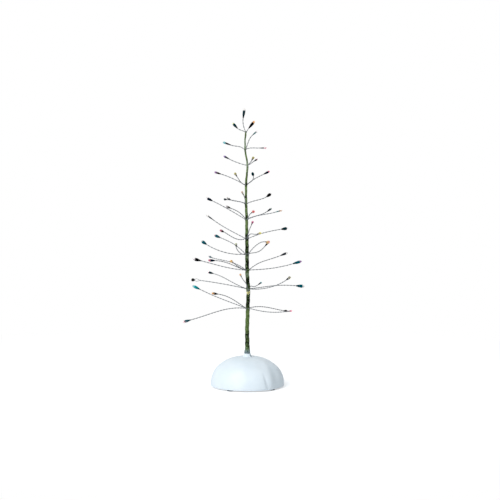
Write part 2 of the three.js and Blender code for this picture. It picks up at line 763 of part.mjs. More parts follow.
function trunkWrap() {
  const outside = trunkPoints(0, TRUNK_HEIGHT, TRUNK_STEPS);
  const inside = trunkPoints(0, TRUNK_HEIGHT - TAPE_CAP, TRUNK_STEPS);
  inside.unshift(new THREE.Vector3(inside[0].x, inside[0].y, treeFoot - CUT));
  const outer = sweep(outside, outside.map((p) => trunkAt(heightOf(p)).radius), TRUNK_SIDES);
  const inner = sweep(inside, inside.map((p) => tapeBore(heightOf(p))), TRUNK_SIDES);
  return outer.subtract(inner);
}

function trunkCore() {
  const low = boardTop + SEAT + TAIL_LENGTH / 2;
  const points = trunkPoints(0, TRUNK_HEIGHT - TAPE_CAP - SEAT, TRUNK_STEPS);
  points.unshift(new THREE.Vector3(points[0].x, points[0].y, low));
  return sweep(points, points.map(() => CORE_RADIUS), 6);
}

// The bundle is thick enough to show as a piece up to where the tape closes on the core wire
function bundleTop() {
  let height = 0;
  while (height < TRUNK_HEIGHT && tapeBore(height) - WRAP_FIT - coreBore > BUNDLE_WALL) height += 1;
  return height;
}

function leadBundle() {
  const top = bundleTop();
  const points = trunkPoints(0, top, BUNDLE_STEPS);
  const foot = new THREE.Vector3(points[0].x, points[0].y, boardTop + SEAT);
  const line = [foot, ...points];
  const radii = line.map((point) => {
    const height = heightOf(point);
    if (height <= 0) return BUNDLE_FOOT_RADIUS;
    return Math.min(tapeBore(height) - WRAP_FIT, BUNDLE_FOOT_RADIUS + BUNDLE_SWELL);
  });
  const bore = trunkPoints(0, top + CUT, BUNDLE_STEPS);
  bore.unshift(new THREE.Vector3(bore[0].x, bore[0].y, boardTop - CUT));
  return sweep(line, radii, 8).subtract(sweep(bore, bore.map(() => coreBore), 6));
}

function trunkBushing() {
  const inner = BUNDLE_FOOT_RADIUS + SEAT;
  const outer = inner + BUSHING_WALL;
  return cut(
    rod(outer, socketBottom + SEAT, neckTop - SEAT, 0, 0, 16),
    rod(inner, socketBottom - CUT, neckTop + CUT, 0, 0, 16),
  );
}

// Unit vector from a direction round the vertical and a slope, in degrees
function pointing(turn, slope) {
  const [a, b] = [turn, slope].map((angle) => THREE.MathUtils.degToRad(angle));
  return new THREE.Vector3(Math.cos(a) * Math.cos(b), Math.sin(a) * Math.cos(b), Math.sin(b));
}

// One lamp branch: lead, shrink sleeve and lamp, as one tube whose radius steps along it
function branch(centre, hubRadius, [turn, reach, rise, leaves, faces, ends, stretch = 1]) {
  const unit = WIDEST_REACH / 100;
  const sleeve = SLEEVE_LENGTH * stretch;
  const outward = pointing(turn, 0);
  const ending = pointing(faces, ends);
  const start = centre.clone().addScaledVector(outward, hubRadius);
  const end = centre.clone().addScaledVector(outward, reach * unit);
  end.z += rise * unit;
  end.addScaledVector(ending, -sleeve - LAMP_LENGTH / 2);
  const pull = LEAD_BEND * start.distanceTo(end);
  const first = start.clone().addScaledVector(pointing(turn, leaves), pull);
  const second = end.clone().addScaledVector(ending, -pull);
  const line = new THREE.CubicBezierCurve3(start, first, second, end).getPoints(LEAD_STEPS);
  const radii = line.map(() => LEAD_RADIUS);
  const along = (distance, radius) => {
    line.push(end.clone().addScaledVector(ending, distance));
    radii.push(radius);
  };
  for (const [share, width] of SLEEVE_PROFILE) along(sleeve * share, SLEEVE_RADIUS * width);
  for (const [share, width] of LAMP_PROFILE) along(sleeve + LAMP_LENGTH * share, LAMP_RADIUS * width);
  return sweep(line, radii, LEAD_SIDES);
}

// A tier: the turn of lead that comes out through the tape, and the branches that start from it
function tierSpray(tier) {
  const height = tier.height * TRUNK_HEIGHT;
  const { x, y, radius } = trunkAt(height);
  const centre = new THREE.Vector3(x, y, treeFoot + height);
  const hubRadius = radius + SEAT + HUB_WIRE;
  const ring = new THREE.TorusGeometry(hubRadius, HUB_WIRE, 5, 10);
  ring.translate(centre.x, centre.y, centre.z);
  return join(solid(ring), ...tier.lamps.map((lamp) => branch(centre, hubRadius, lamp)));
}

// The tree, put together
const tree = new THREE.Group();
const base = new THREE.Group();
base.position.x = BASE_OFFSET;
base.rotation.z = BASE_TURN;
tree.add(base);

function place(group, name, body, material, x = 0, y = 0, z = 0) {
  const mesh = new THREE.Mesh(geometryOf(body), material);
  mesh.name = name;
  mesh.position.set(x, y, z);
  group.add(mesh);
  return mesh;
}

place(base, 'base_shell', baseShell(), materials.snow());
place(base, 'base_plate', basePlate(), materials.plate());
place(base, 'battery_door', batteryDoor(), materials.plate());

const footRing = plateRadius - FOOT_INSET - FOOT_RADIUS;
FOOT_TURNS.forEach((turn, i) => {
  const angle = THREE.MathUtils.degToRad(turn);
  const [x, y] = [footRing * Math.cos(angle), footRing * Math.sin(angle)];
  place(base, `foot_${i + 1}`, foot(), materials.rubber(), x, y);
});

screwPlaces.forEach(([x, y], i) => {
  place(base, `plate_screw_${i + 1}`, screw(PLATE_SCREW), materials.steel(), x, y, plateBottom + SEAT);
});

for (let i = 0; i < CELL_COUNT; i++) {
  const mesh = place(base, `battery_cell_${i + 1}`, cell(), materials.cell(), 0, rowY(i), cellHeight);
  if (i % 2 === 1) mesh.rotation.z = Math.PI;
}

for (const [name, make] of Object.entries(contacts)) place(base, name, make(), materials.steel());

place(base, 'switch_body', switchBody(), materials.black());
place(base, 'switch_knob', switchKnob(), materials.black());
place(base, 'circuit_board', circuitBoard(), materials.board());
place(base, 'controller_chip', controllerChip(), materials.black());
boardScrewPlaces.forEach(([x, y], i) => {
  const z = boardBottom - SEAT - BOARD_SCREW.headHeight;
  place(base, `board_screw_${i + 1}`, screw(BOARD_SCREW), materials.steel(), x, y, z);
});
for (const [name, path] of Object.entries(leadPaths)) {
  place(base, name, wire(path, INNER_LEAD_RADIUS), materials.red());
}
place(base, 'trunk_bushing', trunkBushing(), materials.nylon());

place(tree, 'trunk_core', trunkCore(), materials.steel());
place(tree, 'lead_bundle', leadBundle(), materials.wire());
place(tree, 'trunk_wrap', trunkWrap(), materials.tape());
for (const tier of TIERS) place(tree, `${tier.name}_lights`, tierSpray(tier), materials.spray());

const gap = leastGap(springPoints(1, 0), 2 * SPRING_WIRE, SPRING_STEPS / 2 + 1);
console.log(`least gap between the turns of a contact spring: ${gap.toFixed(2)} mm`);

export default tree;
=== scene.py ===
# %% [markdown]
# # A small light tree on a snow mound
# The tree is a wire stem wound with green tape. Fifty tiny lamps stand out from it on twisted wire
# leads, and a moulded snow mound holds three AA cells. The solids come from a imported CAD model, and
# this file gives them their looks.

# %% Load the frame
import json
import math
from math import cos, exp, pi, radians, sin

import bmesh
import bpy
from mathutils import Matrix, Vector

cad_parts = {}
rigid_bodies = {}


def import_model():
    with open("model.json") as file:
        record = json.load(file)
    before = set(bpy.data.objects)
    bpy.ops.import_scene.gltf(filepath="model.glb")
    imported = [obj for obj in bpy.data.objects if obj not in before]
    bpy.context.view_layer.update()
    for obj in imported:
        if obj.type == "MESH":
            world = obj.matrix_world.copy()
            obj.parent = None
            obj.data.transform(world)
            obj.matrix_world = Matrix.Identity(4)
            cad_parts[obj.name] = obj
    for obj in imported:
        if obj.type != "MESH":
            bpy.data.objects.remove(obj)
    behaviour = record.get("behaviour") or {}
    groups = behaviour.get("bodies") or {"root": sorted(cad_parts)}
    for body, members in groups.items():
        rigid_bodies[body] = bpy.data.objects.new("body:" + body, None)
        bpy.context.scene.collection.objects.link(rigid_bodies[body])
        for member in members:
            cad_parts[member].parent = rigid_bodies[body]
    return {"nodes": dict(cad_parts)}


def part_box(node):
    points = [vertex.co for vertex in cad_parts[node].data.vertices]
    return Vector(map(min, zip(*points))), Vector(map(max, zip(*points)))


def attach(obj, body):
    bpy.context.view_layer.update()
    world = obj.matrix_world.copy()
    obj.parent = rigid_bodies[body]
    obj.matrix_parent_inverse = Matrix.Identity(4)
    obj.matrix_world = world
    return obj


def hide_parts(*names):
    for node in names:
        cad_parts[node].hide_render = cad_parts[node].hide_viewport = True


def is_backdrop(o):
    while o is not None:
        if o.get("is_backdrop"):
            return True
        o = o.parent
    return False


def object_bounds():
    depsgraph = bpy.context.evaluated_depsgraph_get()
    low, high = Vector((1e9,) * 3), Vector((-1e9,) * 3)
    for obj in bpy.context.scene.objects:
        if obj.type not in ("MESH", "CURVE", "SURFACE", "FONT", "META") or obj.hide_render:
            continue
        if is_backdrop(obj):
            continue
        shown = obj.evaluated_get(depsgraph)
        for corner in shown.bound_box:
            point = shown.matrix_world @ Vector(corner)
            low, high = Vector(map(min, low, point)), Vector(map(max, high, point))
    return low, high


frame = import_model()
cad_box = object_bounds()
MM = 0.001
print("CAD box in mm:", [[round(v / MM, 1) for v in corner] for corner in cad_box])

# %% [markdown]
# ## Camera
# The camera comes first, because all that follows is judged through it. The picture was taken from
# a little above the mound, with a long lens. The rim of the mound shows as a thin ellipse, and its
# height against its width gives the downward angle.

# %% Camera
CAMERA_PLACE = (3.45 * MM, -1500 * MM, 265 * MM)
CAMERA_DOWN = 4.42
bpy.ops.object.camera_add(location=CAMERA_PLACE, rotation=(radians(90 - CAMERA_DOWN), 0, 0))
camera = bpy.context.object
camera.name = "camera"
camera.data.lens = 100
camera.data.sensor_width = 36
bpy.context.scene.camera = camera
bpy.context.scene.view_settings.view_transform = "Standard"
print("camera looks down by", CAMERA_DOWN, "degrees, lens:", camera.data.lens, "mm")

# %% [markdown]
# ## Values and nodes for all the steps
# Colours are written as eight-bit values, as a colour picker shows them, and turned into the linear
# values that Blender calculates with. A material is a graph of nodes. One helper adds a node, and
# links or sets its sockets. The others put nodes together that come back often.


# %% Colours
def rgb(red, green, blue):
    def linear(value):
        share = value / 255
        return share / 12.92 if share <= 0.04045 else ((share + 0.055) / 1.055) ** 2.4

    return (linear(red), linear(green), linear(blue), 1)


WHITE = (1, 1, 1, 1)
print("mid grey is", round(rgb(128, 128, 128)[0], 3), "in linear light")


# %% Material helpers
def new_material(name, color, roughness, metallic=0, **sockets):
    material = bpy.data.materials.new(name)
    material.use_nodes = True
    shader = material.node_tree.nodes["Principled BSDF"]
    sockets.update(Base_Color=rgb(*color), Roughness=roughness, Metallic=metallic)
    for label, value in sockets.items():
        shader.inputs[label.replace("_", " ")].default_value = value
    return material, material.node_tree, shader


def add_node(tree, kind, values=None, **settings):
    """Adds a shader node. A value that is another node's output is linked, any other is set."""
    node = tree.nodes.new("ShaderNode" + kind)
    for name, setting in settings.items():
        setattr(node, name, setting)
    for socket, value in (values or {}).items():
        if isinstance(value, bpy.types.NodeSocket):
            tree.links.new(value, node.inputs[socket])
        else:
            node.inputs[socket].default_value = value
    return node


def maths(tree, operation, first, second):
    return add_node(tree, "Math", {0: first, 1: second}, operation=operation).outputs[0]


def mixed(tree, factor, low, high):
    """Mixes two colours by a factor."""
    mix = add_node(tree, "Mix", {"Factor": factor, 6: low, 7: high}, data_type="RGBA")
    return mix.outputs[2]


def object_place(tree):
    return add_node(tree, "TexCoord").outputs["Object"]


def attribute(tree, name, output="Fac"):
    return add_node(tree, "Attribute", attribute_name=name).outputs[output]


def seen_directly(tree):
    """1 where the camera, a glossy surface or glass looks at it, and otherwise 0."""
    path = add_node(tree, "LightPath").outputs
    seen = maths(tree, "MAXIMUM", path["Is Camera Ray"], path["Is Glossy Ray"])
    return maths(tree, "MAXIMUM", seen, path["Is Transmission Ray"])


print("material helpers are ready")

# %% [markdown]
# ## Studio
# The object stands on a plain pale floor under a soft key light from the upper left front and a
# weak light from the left, and the light of the world is faintly blue. The floor could be lit until
# it is white, but then the white mound would lose its shading. So the camera, glossy surfaces and
# glass see a white floor and a white world, and the floor keeps only the object's shadow.

# %% Floor
FLOOR_SIZE = 12
FLOOR_GLOW = 0.5
bpy.ops.mesh.primitive_plane_add(size=FLOOR_SIZE, location=(0, 0, 0))
floor = bpy.context.object
floor.name = "floor"
floor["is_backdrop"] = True
floor_material, tree, shader = new_material(
    "studio floor", (235, 236, 238), 0.9, Specular_IOR_Level=0.1, Emission_Color=WHITE
)
seen = seen_directly(tree)
tree.links.new(maths(tree, "MULTIPLY", seen, FLOOR_GLOW), shader.inputs["Emission Strength"])
floor.data.materials.append(floor_material)
print("floor is", [round(v, 2) for v in floor.dimensions], "m")

# %% Floor far from the object
FADE_START, FADE_END = 0.15, 0.5
away = add_node(tree, "VectorMath", {0: object_place(tree)}, operation="LENGTH").outputs["Value"]
fade = add_node(
    tree, "MapRange", {"Value": away, "From Min": FADE_START, "From Max": FADE_END},
    interpolation_type="SMOOTHSTEP",
)
far = maths(tree, "MULTIPLY", fade.outputs["Result"], seen)
white = add_node(tree, "Emission").outputs["Emission"]
choose = add_node(tree, "MixShader", {"Fac": far, 1: shader.outputs["BSDF"], 2: white})
tree.links.new(choose.outputs["Shader"], tree.nodes["Material Output"].inputs["Surface"])
print("the floor fades to white from", FADE_START, "to", FADE_END, "m")

# %% World and lights
WORLD_LIGHT = 0.42
WORLD_TINT = (0.92, 0.98, 1, 1)
LIT_POINT = Vector((0, 0, 0.1))
world = bpy.data.worlds.new("studio")
world.use_nodes = True
bpy.context.scene.world = world
tree = world.node_tree
background = tree.nodes["Background"].inputs
seen = seen_directly(tree)
level = add_node(tree, "MapRange", {"Value": seen, "To Min": WORLD_LIGHT, "To Max": 1.0})
tree.links.new(level.outputs["Result"], background["Strength"])
tree.links.new(mixed(tree, seen, WORLD_TINT, WHITE), background["Color"])


def soft_light(name, spot, size, power):
    bpy.ops.object.light_add(type="AREA", location=spot)
    light = bpy.context.object
    light.name = name
    light.data.size = size
    light.data.energy = power
    light.rotation_euler = (LIT_POINT - Vector(spot)).to_track_quat("-Z", "Y").to_euler()


soft_light("key light", (-1.05, -1.67, 1.6), 1.4, 43)
soft_light("side light", (-1.9, 0.1, 0.8), 1.0, 2)

# %% [markdown]
# ## Helpers for modelling
# A modelling operator works on all that is selected. These helpers make sure that only one piece is
# being edited, and pick its points by their place. A round piece starts as a chain of points, drawn
# by extruding one point, which is then spun round an axis.


# %% Selecting and editing
def deselect_all():
    if bpy.context.object and bpy.context.object.mode != "OBJECT":
        bpy.ops.object.mode_set(mode="OBJECT")
    bpy.ops.object.select_all(action="DESELECT")


def make_active(piece):
    deselect_all()
    piece.select_set(True)
    bpy.context.view_layer.objects.active = piece


def edit(piece, kind="VERT"):
    make_active(piece)
    bpy.ops.object.mode_set(mode="EDIT")
    bpy.ops.mesh.select_mode(type=kind)
    bpy.ops.mesh.select_all(action="DESELECT")


def finish_edit():
    bpy.ops.object.mode_set(mode="OBJECT")


def pick_all():
    bpy.ops.mesh.select_all(action="SELECT")


def pick(piece, test, kind="verts"):
    """In edit mode: selects only the points, edges or faces that pass the test."""
    bpy.ops.mesh.select_all(action="DESELECT")
    shape = bmesh.from_edit_mesh(piece.data)
    for item in getattr(shape, kind):
        if test(item):
            item.select_set(True)
    bmesh.update_edit_mesh(piece.data)


def pick_nearest(piece, target, allowed=lambda vert: True):
    """In edit mode: selects only the allowed point that is nearest to a place."""
    verts = bmesh.from_edit_mesh(piece.data).verts
    nearest = min(filter(allowed, verts), key=lambda vert: (vert.co - target).length_squared)
    pick(piece, lambda vert: vert == nearest)


def nudge(value, size, falloff="SMOOTH", connected=False):
    """Moves what is picked, and the points round it less and less up to a size in mm."""
    bpy.ops.transform.translate(
        value=value, use_proportional_edit=True, proportional_edit_falloff=falloff,
        proportional_size=size * MM, use_proportional_connected=connected,
    )


def cut(piece, spot, normal):
    """Cuts off what lies beyond a plane, and closes the cut."""
    edit(piece)
    pick_all()
    bpy.ops.mesh.bisect(plane_co=spot, plane_no=normal, use_fill=True, clear_outer=True)
    finish_edit()


def smooth(piece, degrees):
    """Smooth shading, but for edges sharper than the angle."""
    make_active(piece)
    bpy.ops.object.shade_smooth_by_angle(angle=radians(degrees))


def apply_all(piece):
    make_active(piece)
    for modifier in list(piece.modifiers):
        bpy.ops.object.modifier_apply(modifier=modifier.name)


def copy_of(piece, name):
    other = piece.copy()
    other.data = piece.data.copy()
    other.name = other.data.name = name
    bpy.context.scene.collection.objects.link(other)
    return other


def place(piece, matrix):
    """Moves a finished mesh, so that its object stays at the origin."""
    piece.data.transform(matrix)
    piece.data.update()
    return piece


def join(name, pieces):
    make_active(pieces[0])
    for piece in pieces:
        piece.select_set(True)
    if len(pieces) > 1:
        bpy.ops.object.join()
    pieces[0].name = pieces[0].data.name = name
    return pieces[0]


def dress(piece, material):
    piece.data.materials.clear()
    piece.data.materials.append(material)


def point_attribute(piece, name, value_of):
    """Gives each point a value, worked out from its place in mm."""
    layer = piece.data.attributes.new(name, "FLOAT", "POINT")
    for entry, vert in zip(layer.data, piece.data.vertices):
        entry.value = value_of(vert.co / MM)


print("editing helpers are ready")


# %% Chains and turned shapes
def chain(name, points, closed=False):
    """An object of edges through points in mm, drawn by extruding one point."""
    deselect_all()
    bpy.ops.mesh.primitive_plane_add(size=MM, location=(0, 0, 0))
    piece = bpy.context.object
    piece.name = piece.data.name = name
    bpy.ops.object.mode_set(mode="EDIT")
    pick_all()
    bpy.ops.mesh.merge(type="CENTER")
    here = Vector(points[0]) * MM
    bpy.ops.transform.translate(value=here)
    for point in points[1:]:
        there = Vector(point) * MM
        bpy.ops.mesh.extrude_region_move(TRANSFORM_OT_translate={"value": there - here})
        here = there
    if closed:
        ends = {0, len(points) - 1}
        pick(piece, lambda vert: vert.index in ends)
        bpy.ops.mesh.edge_face_add()
    finish_edit()
    return piece


def turned(name, profile, steps, closed=False):
    """A profile of (radius, height) in mm, spun round the Z axis."""
    piece = chain(name, [(radius, 0, height) for radius, height in profile], closed)
    edit(piece)
    pick_all()
    bpy.ops.mesh.spin(steps=steps, angle=2 * pi, center=(0, 0, 0), axis=(0, 0, 1))
    pick_all()
    bpy.ops.mesh.remove_doubles(threshold=0.004 * MM)
    bpy.ops.mesh.normals_make_consistent(inside=False)
    finish_edit()
    smooth(piece, 40)
    return piece


def wind(piece, axis, pitch, turns, steps):
    """Winds an outline round an axis into a helix, with its pitch in mm."""
    winding = piece.modifiers.new("winding", "SCREW")
    winding.axis = axis
    winding.angle = 2 * pi
    winding.screw_offset = pitch * MM
    winding.iterations = turns
    winding.steps = winding.render_steps = steps
    apply_all(piece)


def new_curve(name, kind):
    """A 3-D curve with one empty spline."""
    data = bpy.data.curves.new(name, "CURVE")
    data.dimensions = "3D"
    data.twist_mode = "MINIMUM"
    curve = bpy.data.objects.new(name, data)
    bpy.context.scene.collection.objects.link(curve)
    return curve, data.splines.new(kind)


def bend_along(piece, curve, axis):
    """Bends a straight piece along a curve, and removes the curve."""
    bend = piece.modifiers.new("bend", "CURVE")
    bend.object = curve
    bend.deform_axis = axis
    apply_all(piece)
    bpy.data.objects.remove(curve)


print("shape helpers are ready")

# %% [markdown]
# ## Shared effects
# Nothing real is one flat colour. Two effects are used by most finishes here: a soft mottle, which
# mixes two colours in patches, and a fine grain, which tilts the surface a little. Each is a node
# group, so it is built once and given its own values in each material.


# %% Node groups
def new_group(name, inputs, outputs):
    """A node group. Its inputs and outputs are given as names with their kinds."""
    group = bpy.data.node_groups.new(name, "ShaderNodeTree")
    for side, sockets in (("INPUT", inputs), ("OUTPUT", outputs)):
        for label, kind in sockets.items():
            group.interface.new_socket(label, in_out=side, socket_type="NodeSocket" + kind)
    start = group.nodes.new("NodeGroupInput")
    end = group.nodes.new("NodeGroupOutput")
    return group, start.outputs, end.inputs


mottle, given, result = new_group(
    "mottle",
    {"Color A": "Color", "Color B": "Color", "Size": "Float", "Low": "Float", "High": "Float"},
    {"Color": "Color", "Mask": "Float"},
)
noise = add_node(
    mottle, "TexNoise", {"Vector": object_place(mottle), "Scale": given["Size"], "Detail": 4}
)
mask = add_node(
    mottle, "MapRange",
    {"Value": noise.outputs["Fac"], "From Min": given["Low"], "From Max": given["High"]},
).outputs["Result"]
mottle.links.new(mixed(mottle, mask, given["Color A"], given["Color B"]), result["Color"])
mottle.links.new(mask, result["Mask"])

grain, given, result = new_group(
    "grain", {"Size": "Float", "Depth": "Float", "Normal": "Vector"}, {"Normal": "Vector"}
)
noise = add_node(
    grain, "TexNoise", {"Vector": object_place(grain), "Scale": given["Size"], "Detail": 3}
)
bump = add_node(grain, "Bump", {
    "Distance": maths(grain, "MULTIPLY", given["Depth"], MM), "Height": noise.outputs["Fac"],
    "Normal": given["Normal"],
})
grain.links.new(bump.outputs["Normal"], result["Normal"])
print("groups:", [group.name for group in bpy.data.node_groups])


# %% Finish with mottle and grain
def mottled(tree, color_a, color_b, size, low=0.35, high=0.65):
    """Adds the mottle, and hands back its colour and its mask of patches."""
    values = {"Color A": rgb(*color_a), "Color B": rgb(*color_b), "Size": size, "Low": low,
              "High": high}
    return add_node(tree, "Group", values, node_tree=mottle).outputs


def add_grain(tree, shader, size, depth, edge=0.0):
    """Lays the grain on a shader, over edges that look rounded by a radius in mm."""
    if edge:
        under = add_node(tree, "Bevel", {"Radius": edge * MM}, samples=4)
    else:
        under = add_node(tree, "NewGeometry")
    values = {"Size": size, "Depth": depth, "Normal": under.outputs["Normal"]}
    fine = add_node(tree, "Group", values, node_tree=grain)
    tree.links.new(fine.outputs["Normal"], shader.inputs["Normal"])


def finish(name, color_a, color_b, roughness, size, grain_size=900, grain_depth=0.02, metallic=0,
           edge=0, rough_change=0.08, **sockets):
    """A material whose colour and roughness change in patches, with a fine grain on it."""
    material, tree, shader = new_material(name, color_a, roughness, metallic, **sockets)
    patches = mottled(tree, color_a, color_b, size)
    tree.links.new(patches["Color"], shader.inputs["Base Color"])
    rough = add_node(tree, "MapRange", {
        "Value": patches["Mask"], "To Min": roughness - rough_change,
        "To Max": roughness + rough_change,
    })
    tree.links.new(rough.outputs["Result"], shader.inputs["Roughness"])
    add_grain(tree, shader, grain_size, grain_depth, edge)
    return material


print("finishes can be made")

# %% [markdown]
# ## Snow mound
# On the real object this is one thin moulded shell of satin white plastic, with a short neck that
# holds the stem. A sphere could be squashed for it, but the shell needs its wall, its rim and its
# neck as well. So half of its section is drawn as a closed chain of points and spun round the
# middle, and the lumps and hollows of the snow are then pushed into it with proportional editing.

# %% Mound sizes
shell_low, shell_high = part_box("base_shell")
BASE_X = 0.6
MOUND_RADIUS = 40.2
MOUND_WALL = 2
INNER_RADIUS = MOUND_RADIUS - MOUND_WALL
MOUND_FOOT = shell_low.z / MM
NECK_TOP = shell_high.z / MM
MOUND_TOP = NECK_TOP - 3
NECK_RADIUS = 3.7
SOCKET_BORE = 2.8
SOCKET_FOOT = 23.8
MOUND_POWER = 2.25
print("mound:", round(MOUND_FOOT, 2), "to", round(NECK_TOP, 2), "mm high")


# %% Mound section
def mound_arc(radius, height, first, last, steps):
    """Points of a squarish quarter ellipse, by angle from the rim to the top."""
    points = []
    for i in range(steps + 1):
        lift = radians(first + (last - first) * i / steps)
        across = radius * cos(lift) ** (2 / MOUND_POWER)
        up = height * sin(lift) ** (2 / MOUND_POWER)
        points.append((across, MOUND_FOOT + up))
    return points


outer = mound_arc(MOUND_RADIUS, MOUND_TOP - MOUND_FOOT, 3, 84.5, 30)
inner = mound_arc(INNER_RADIUS, MOUND_TOP - MOUND_FOOT - MOUND_WALL, 81, 2, 20)
neck = [
    (4.9, MOUND_TOP - 0.05), (4.35, MOUND_TOP + 0.35), (4.1, MOUND_TOP + 1.1),
    (NECK_RADIUS, NECK_TOP - 0.55), (NECK_RADIUS - 0.2, NECK_TOP - 0.15),
    (NECK_RADIUS - 0.5, NECK_TOP), (SOCKET_BORE + 0.1, NECK_TOP), (SOCKET_BORE, NECK_TOP - 0.15),
    (SOCKET_BORE, SOCKET_FOOT), (SOCKET_BORE + 0.3, SOCKET_FOOT), (4.3, SOCKET_FOOT),
    (4.4, SOCKET_FOOT + 0.2), (4.4, inner[0][1] - 0.6), (4.7, inner[0][1] - 0.1),
]
rim = [
    (INNER_RADIUS, MOUND_FOOT + 0.4), (INNER_RADIUS + 0.1, MOUND_FOOT + 0.1),
    (INNER_RADIUS + 0.4, MOUND_FOOT), (MOUND_RADIUS - 0.5, MOUND_FOOT),
    (MOUND_RADIUS - 0.1, MOUND_FOOT + 0.15),
]
mound = turned("snow_mound", outer + neck + inner + rim, 128, closed=True)
place(mound, Matrix.Translation((BASE_X * MM, 0, 0)))
print("mound mesh has", len(mound.data.polygons), "faces")

# %% [markdown]
# The snow has soft lumps all round, and its right front swells like a drift, up to its shoulder.
# Before they are pushed in, the mesh is subdivided once, so that it bends smoothly.


# %% Lumps and hollows of the snow
def surface_point(turn, height):
    """A point of the mound's outside, by direction round it and height above the table in mm."""
    share = min(1.0, max(0.0, (height - MOUND_FOOT) / (MOUND_TOP - MOUND_FOOT)))
    across = MOUND_RADIUS * (1 - share ** MOUND_POWER) ** (1 / MOUND_POWER)
    angle = radians(turn)
    return Vector((BASE_X + across * cos(angle), across * sin(angle), height)) * MM


def push(turn, height, depth, size, falloff="SMOOTH"):
    """Moves the mound's surface out, or in where the depth is below 0, round one place."""
    target = surface_point(turn, height)
    outward = Vector((target.x - BASE_X * MM, target.y, target.z - PUSH_FROM * MM)).normalized()
    pick_nearest(mound, target, lambda vert: vert.normal.dot(outward) > 0.3)
    nudge(outward * depth * MM, size, falloff)


PUSH_FROM = 8
smoother = mound.modifiers.new("smoother", "SUBSURF")
smoother.levels = smoother.render_levels = 1
apply_all(mound)
LUMPS = [
    (-130, 17, 0.7, 16), (-95, 24, 0.5, 14), (-165, 22, 0.6, 14), (-20, 20, 0.5, 13),
    (60, 18, 0.7, 16), (110, 22, 0.6, 15), (160, 15, 0.6, 14), (15, 25, -0.5, 12),
    (-103, 13, -0.5, 10), (-58, 26, -0.6, 9), (85, 12, -0.5, 12), (-148, 27, -0.4, 10),
    (135, 27, 0.5, 12),
]
edit(mound)
for lump in LUMPS:
    push(*lump)
finish_edit()
print("pushed", len(LUMPS), "lumps and hollows")

# %% Shoulder of the drift
SHOULDER = [
    (-62, 4, 0.5), (-62, 8, 0.55), (-62, 12, 0.55), (-62, 16, 0.55), (-60, 20, 0.5),
    (-55, 24, 0.4), (-45, 28, 0.25),
]
SHOULDER_SIZE = 17
edit(mound)
for turn, height, depth in SHOULDER:
    push(turn, height, depth, SHOULDER_SIZE, falloff="LINEAR")
finish_edit()
print("the shoulder is in")

# %% [markdown]
# The groove at the right front is crisp, with a low ridge beside it. The neck is pressed in on its
# right, and the snow dips there into a notch. The mesh is made finer where these forms go.


# %% Finer mesh where the groove and the notch go
def near_details(face):
    middle = face.calc_center_median() / MM
    turn = math.degrees(math.atan2(middle.y, middle.x - BASE_X))
    across = math.hypot(middle.x - BASE_X, middle.y)
    outside = across > surface_point(0, middle.z).x / MM - BASE_X - 1
    groove = -74 < turn < -42 and middle.z < 25 and outside
    notch = middle.z > MOUND_TOP - 2 and across < 12 and -75 < turn < 40
    return groove or notch


edit(mound, "FACE")
pick(mound, near_details, "faces")
bpy.ops.mesh.subdivide(number_cuts=1, smoothness=1)
finish_edit()
print("mound mesh has", len(mound.data.polygons), "faces")


# %% Groove and ridge
def along(path, steps):
    """Places at even shares of a path of (turn, height), with the share reached."""
    for step in range(steps + 1):
        share = step / steps
        reached = share * (len(path) - 1)
        leg = min(int(reached), len(path) - 2)
        first, second = path[leg], path[leg + 1]
        turn, height = (a + (b - a) * (reached - leg) for a, b in zip(first, second))
        yield turn, height, share


RIDGE = [
    (-36, 30), (-45, 27.5), (-49, 23.5), (-50.5, 19), (-51.5, 15), (-51.5, 11), (-51.5, 7),
    (-51, 2.5),
]
RIDGE_RISE, HOLLOW_DEPTH = 0.12, 0.055
GROOVE = [(-62, 18), (-61.3, 15), (-60.7, 11), (-59.3, 7), (-57, 3)]
GROOVE_DEPTH, SLOPE_DEPTH = 0.22, 0.08
edit(mound)
for turn, height, share in along(RIDGE, 22):
    push(turn, height, RIDGE_RISE * sin(pi * (0.15 + 0.6 * share)), 8)
    push(turn + 16, height, -HOLLOW_DEPTH, 9)
for turn, height, share in along(GROOVE, 20):
    deep = sin(pi * (0.06 + 0.64 * share))
    push(turn, height, -GROOVE_DEPTH * deep, 3.2)
    push(turn + 3.5, height, -SLOPE_DEPTH * deep, 4.6)
pick(mound, near_details, "faces")
bpy.ops.mesh.vertices_smooth(factor=0.5, repeat=1)
print("groove and ridge are in")

# %% Notch beside the neck
SIDE_RADIUS = 4.2
SIDE_DEPTH = 0.62
DIP_DEPTH = 0.5
for step in range(8):
    lift = 0.45 * step
    turn = radians(-28 + 2 * step)
    side = (BASE_X + SIDE_RADIUS * cos(turn), SIDE_RADIUS * sin(turn), NECK_TOP - 0.5 - lift)
    pick_nearest(mound, Vector(side) * MM)
    nudge((-SIDE_DEPTH * cos(turn) * MM, -SIDE_DEPTH * sin(turn) * MM, 0), 1.3)
for step in range(7):
    dip = (BASE_X + 5.2 + 0.4 * step, -3.5 + 2.2 * step, MOUND_TOP)
    pick_nearest(mound, Vector(dip) * MM)
    nudge((0, 0, -DIP_DEPTH * MM), 3)
finish_edit()
print("the notch is in")

# %% [markdown]
# Inside the shell stand four screw columns and two board posts, moulded in one with it. One of each
# is turned, and the copies are put at their places. The tops of the columns are cut on a slant, as
# the wall slopes there. All are joined to the shell as loose bodies that reach into its wall.

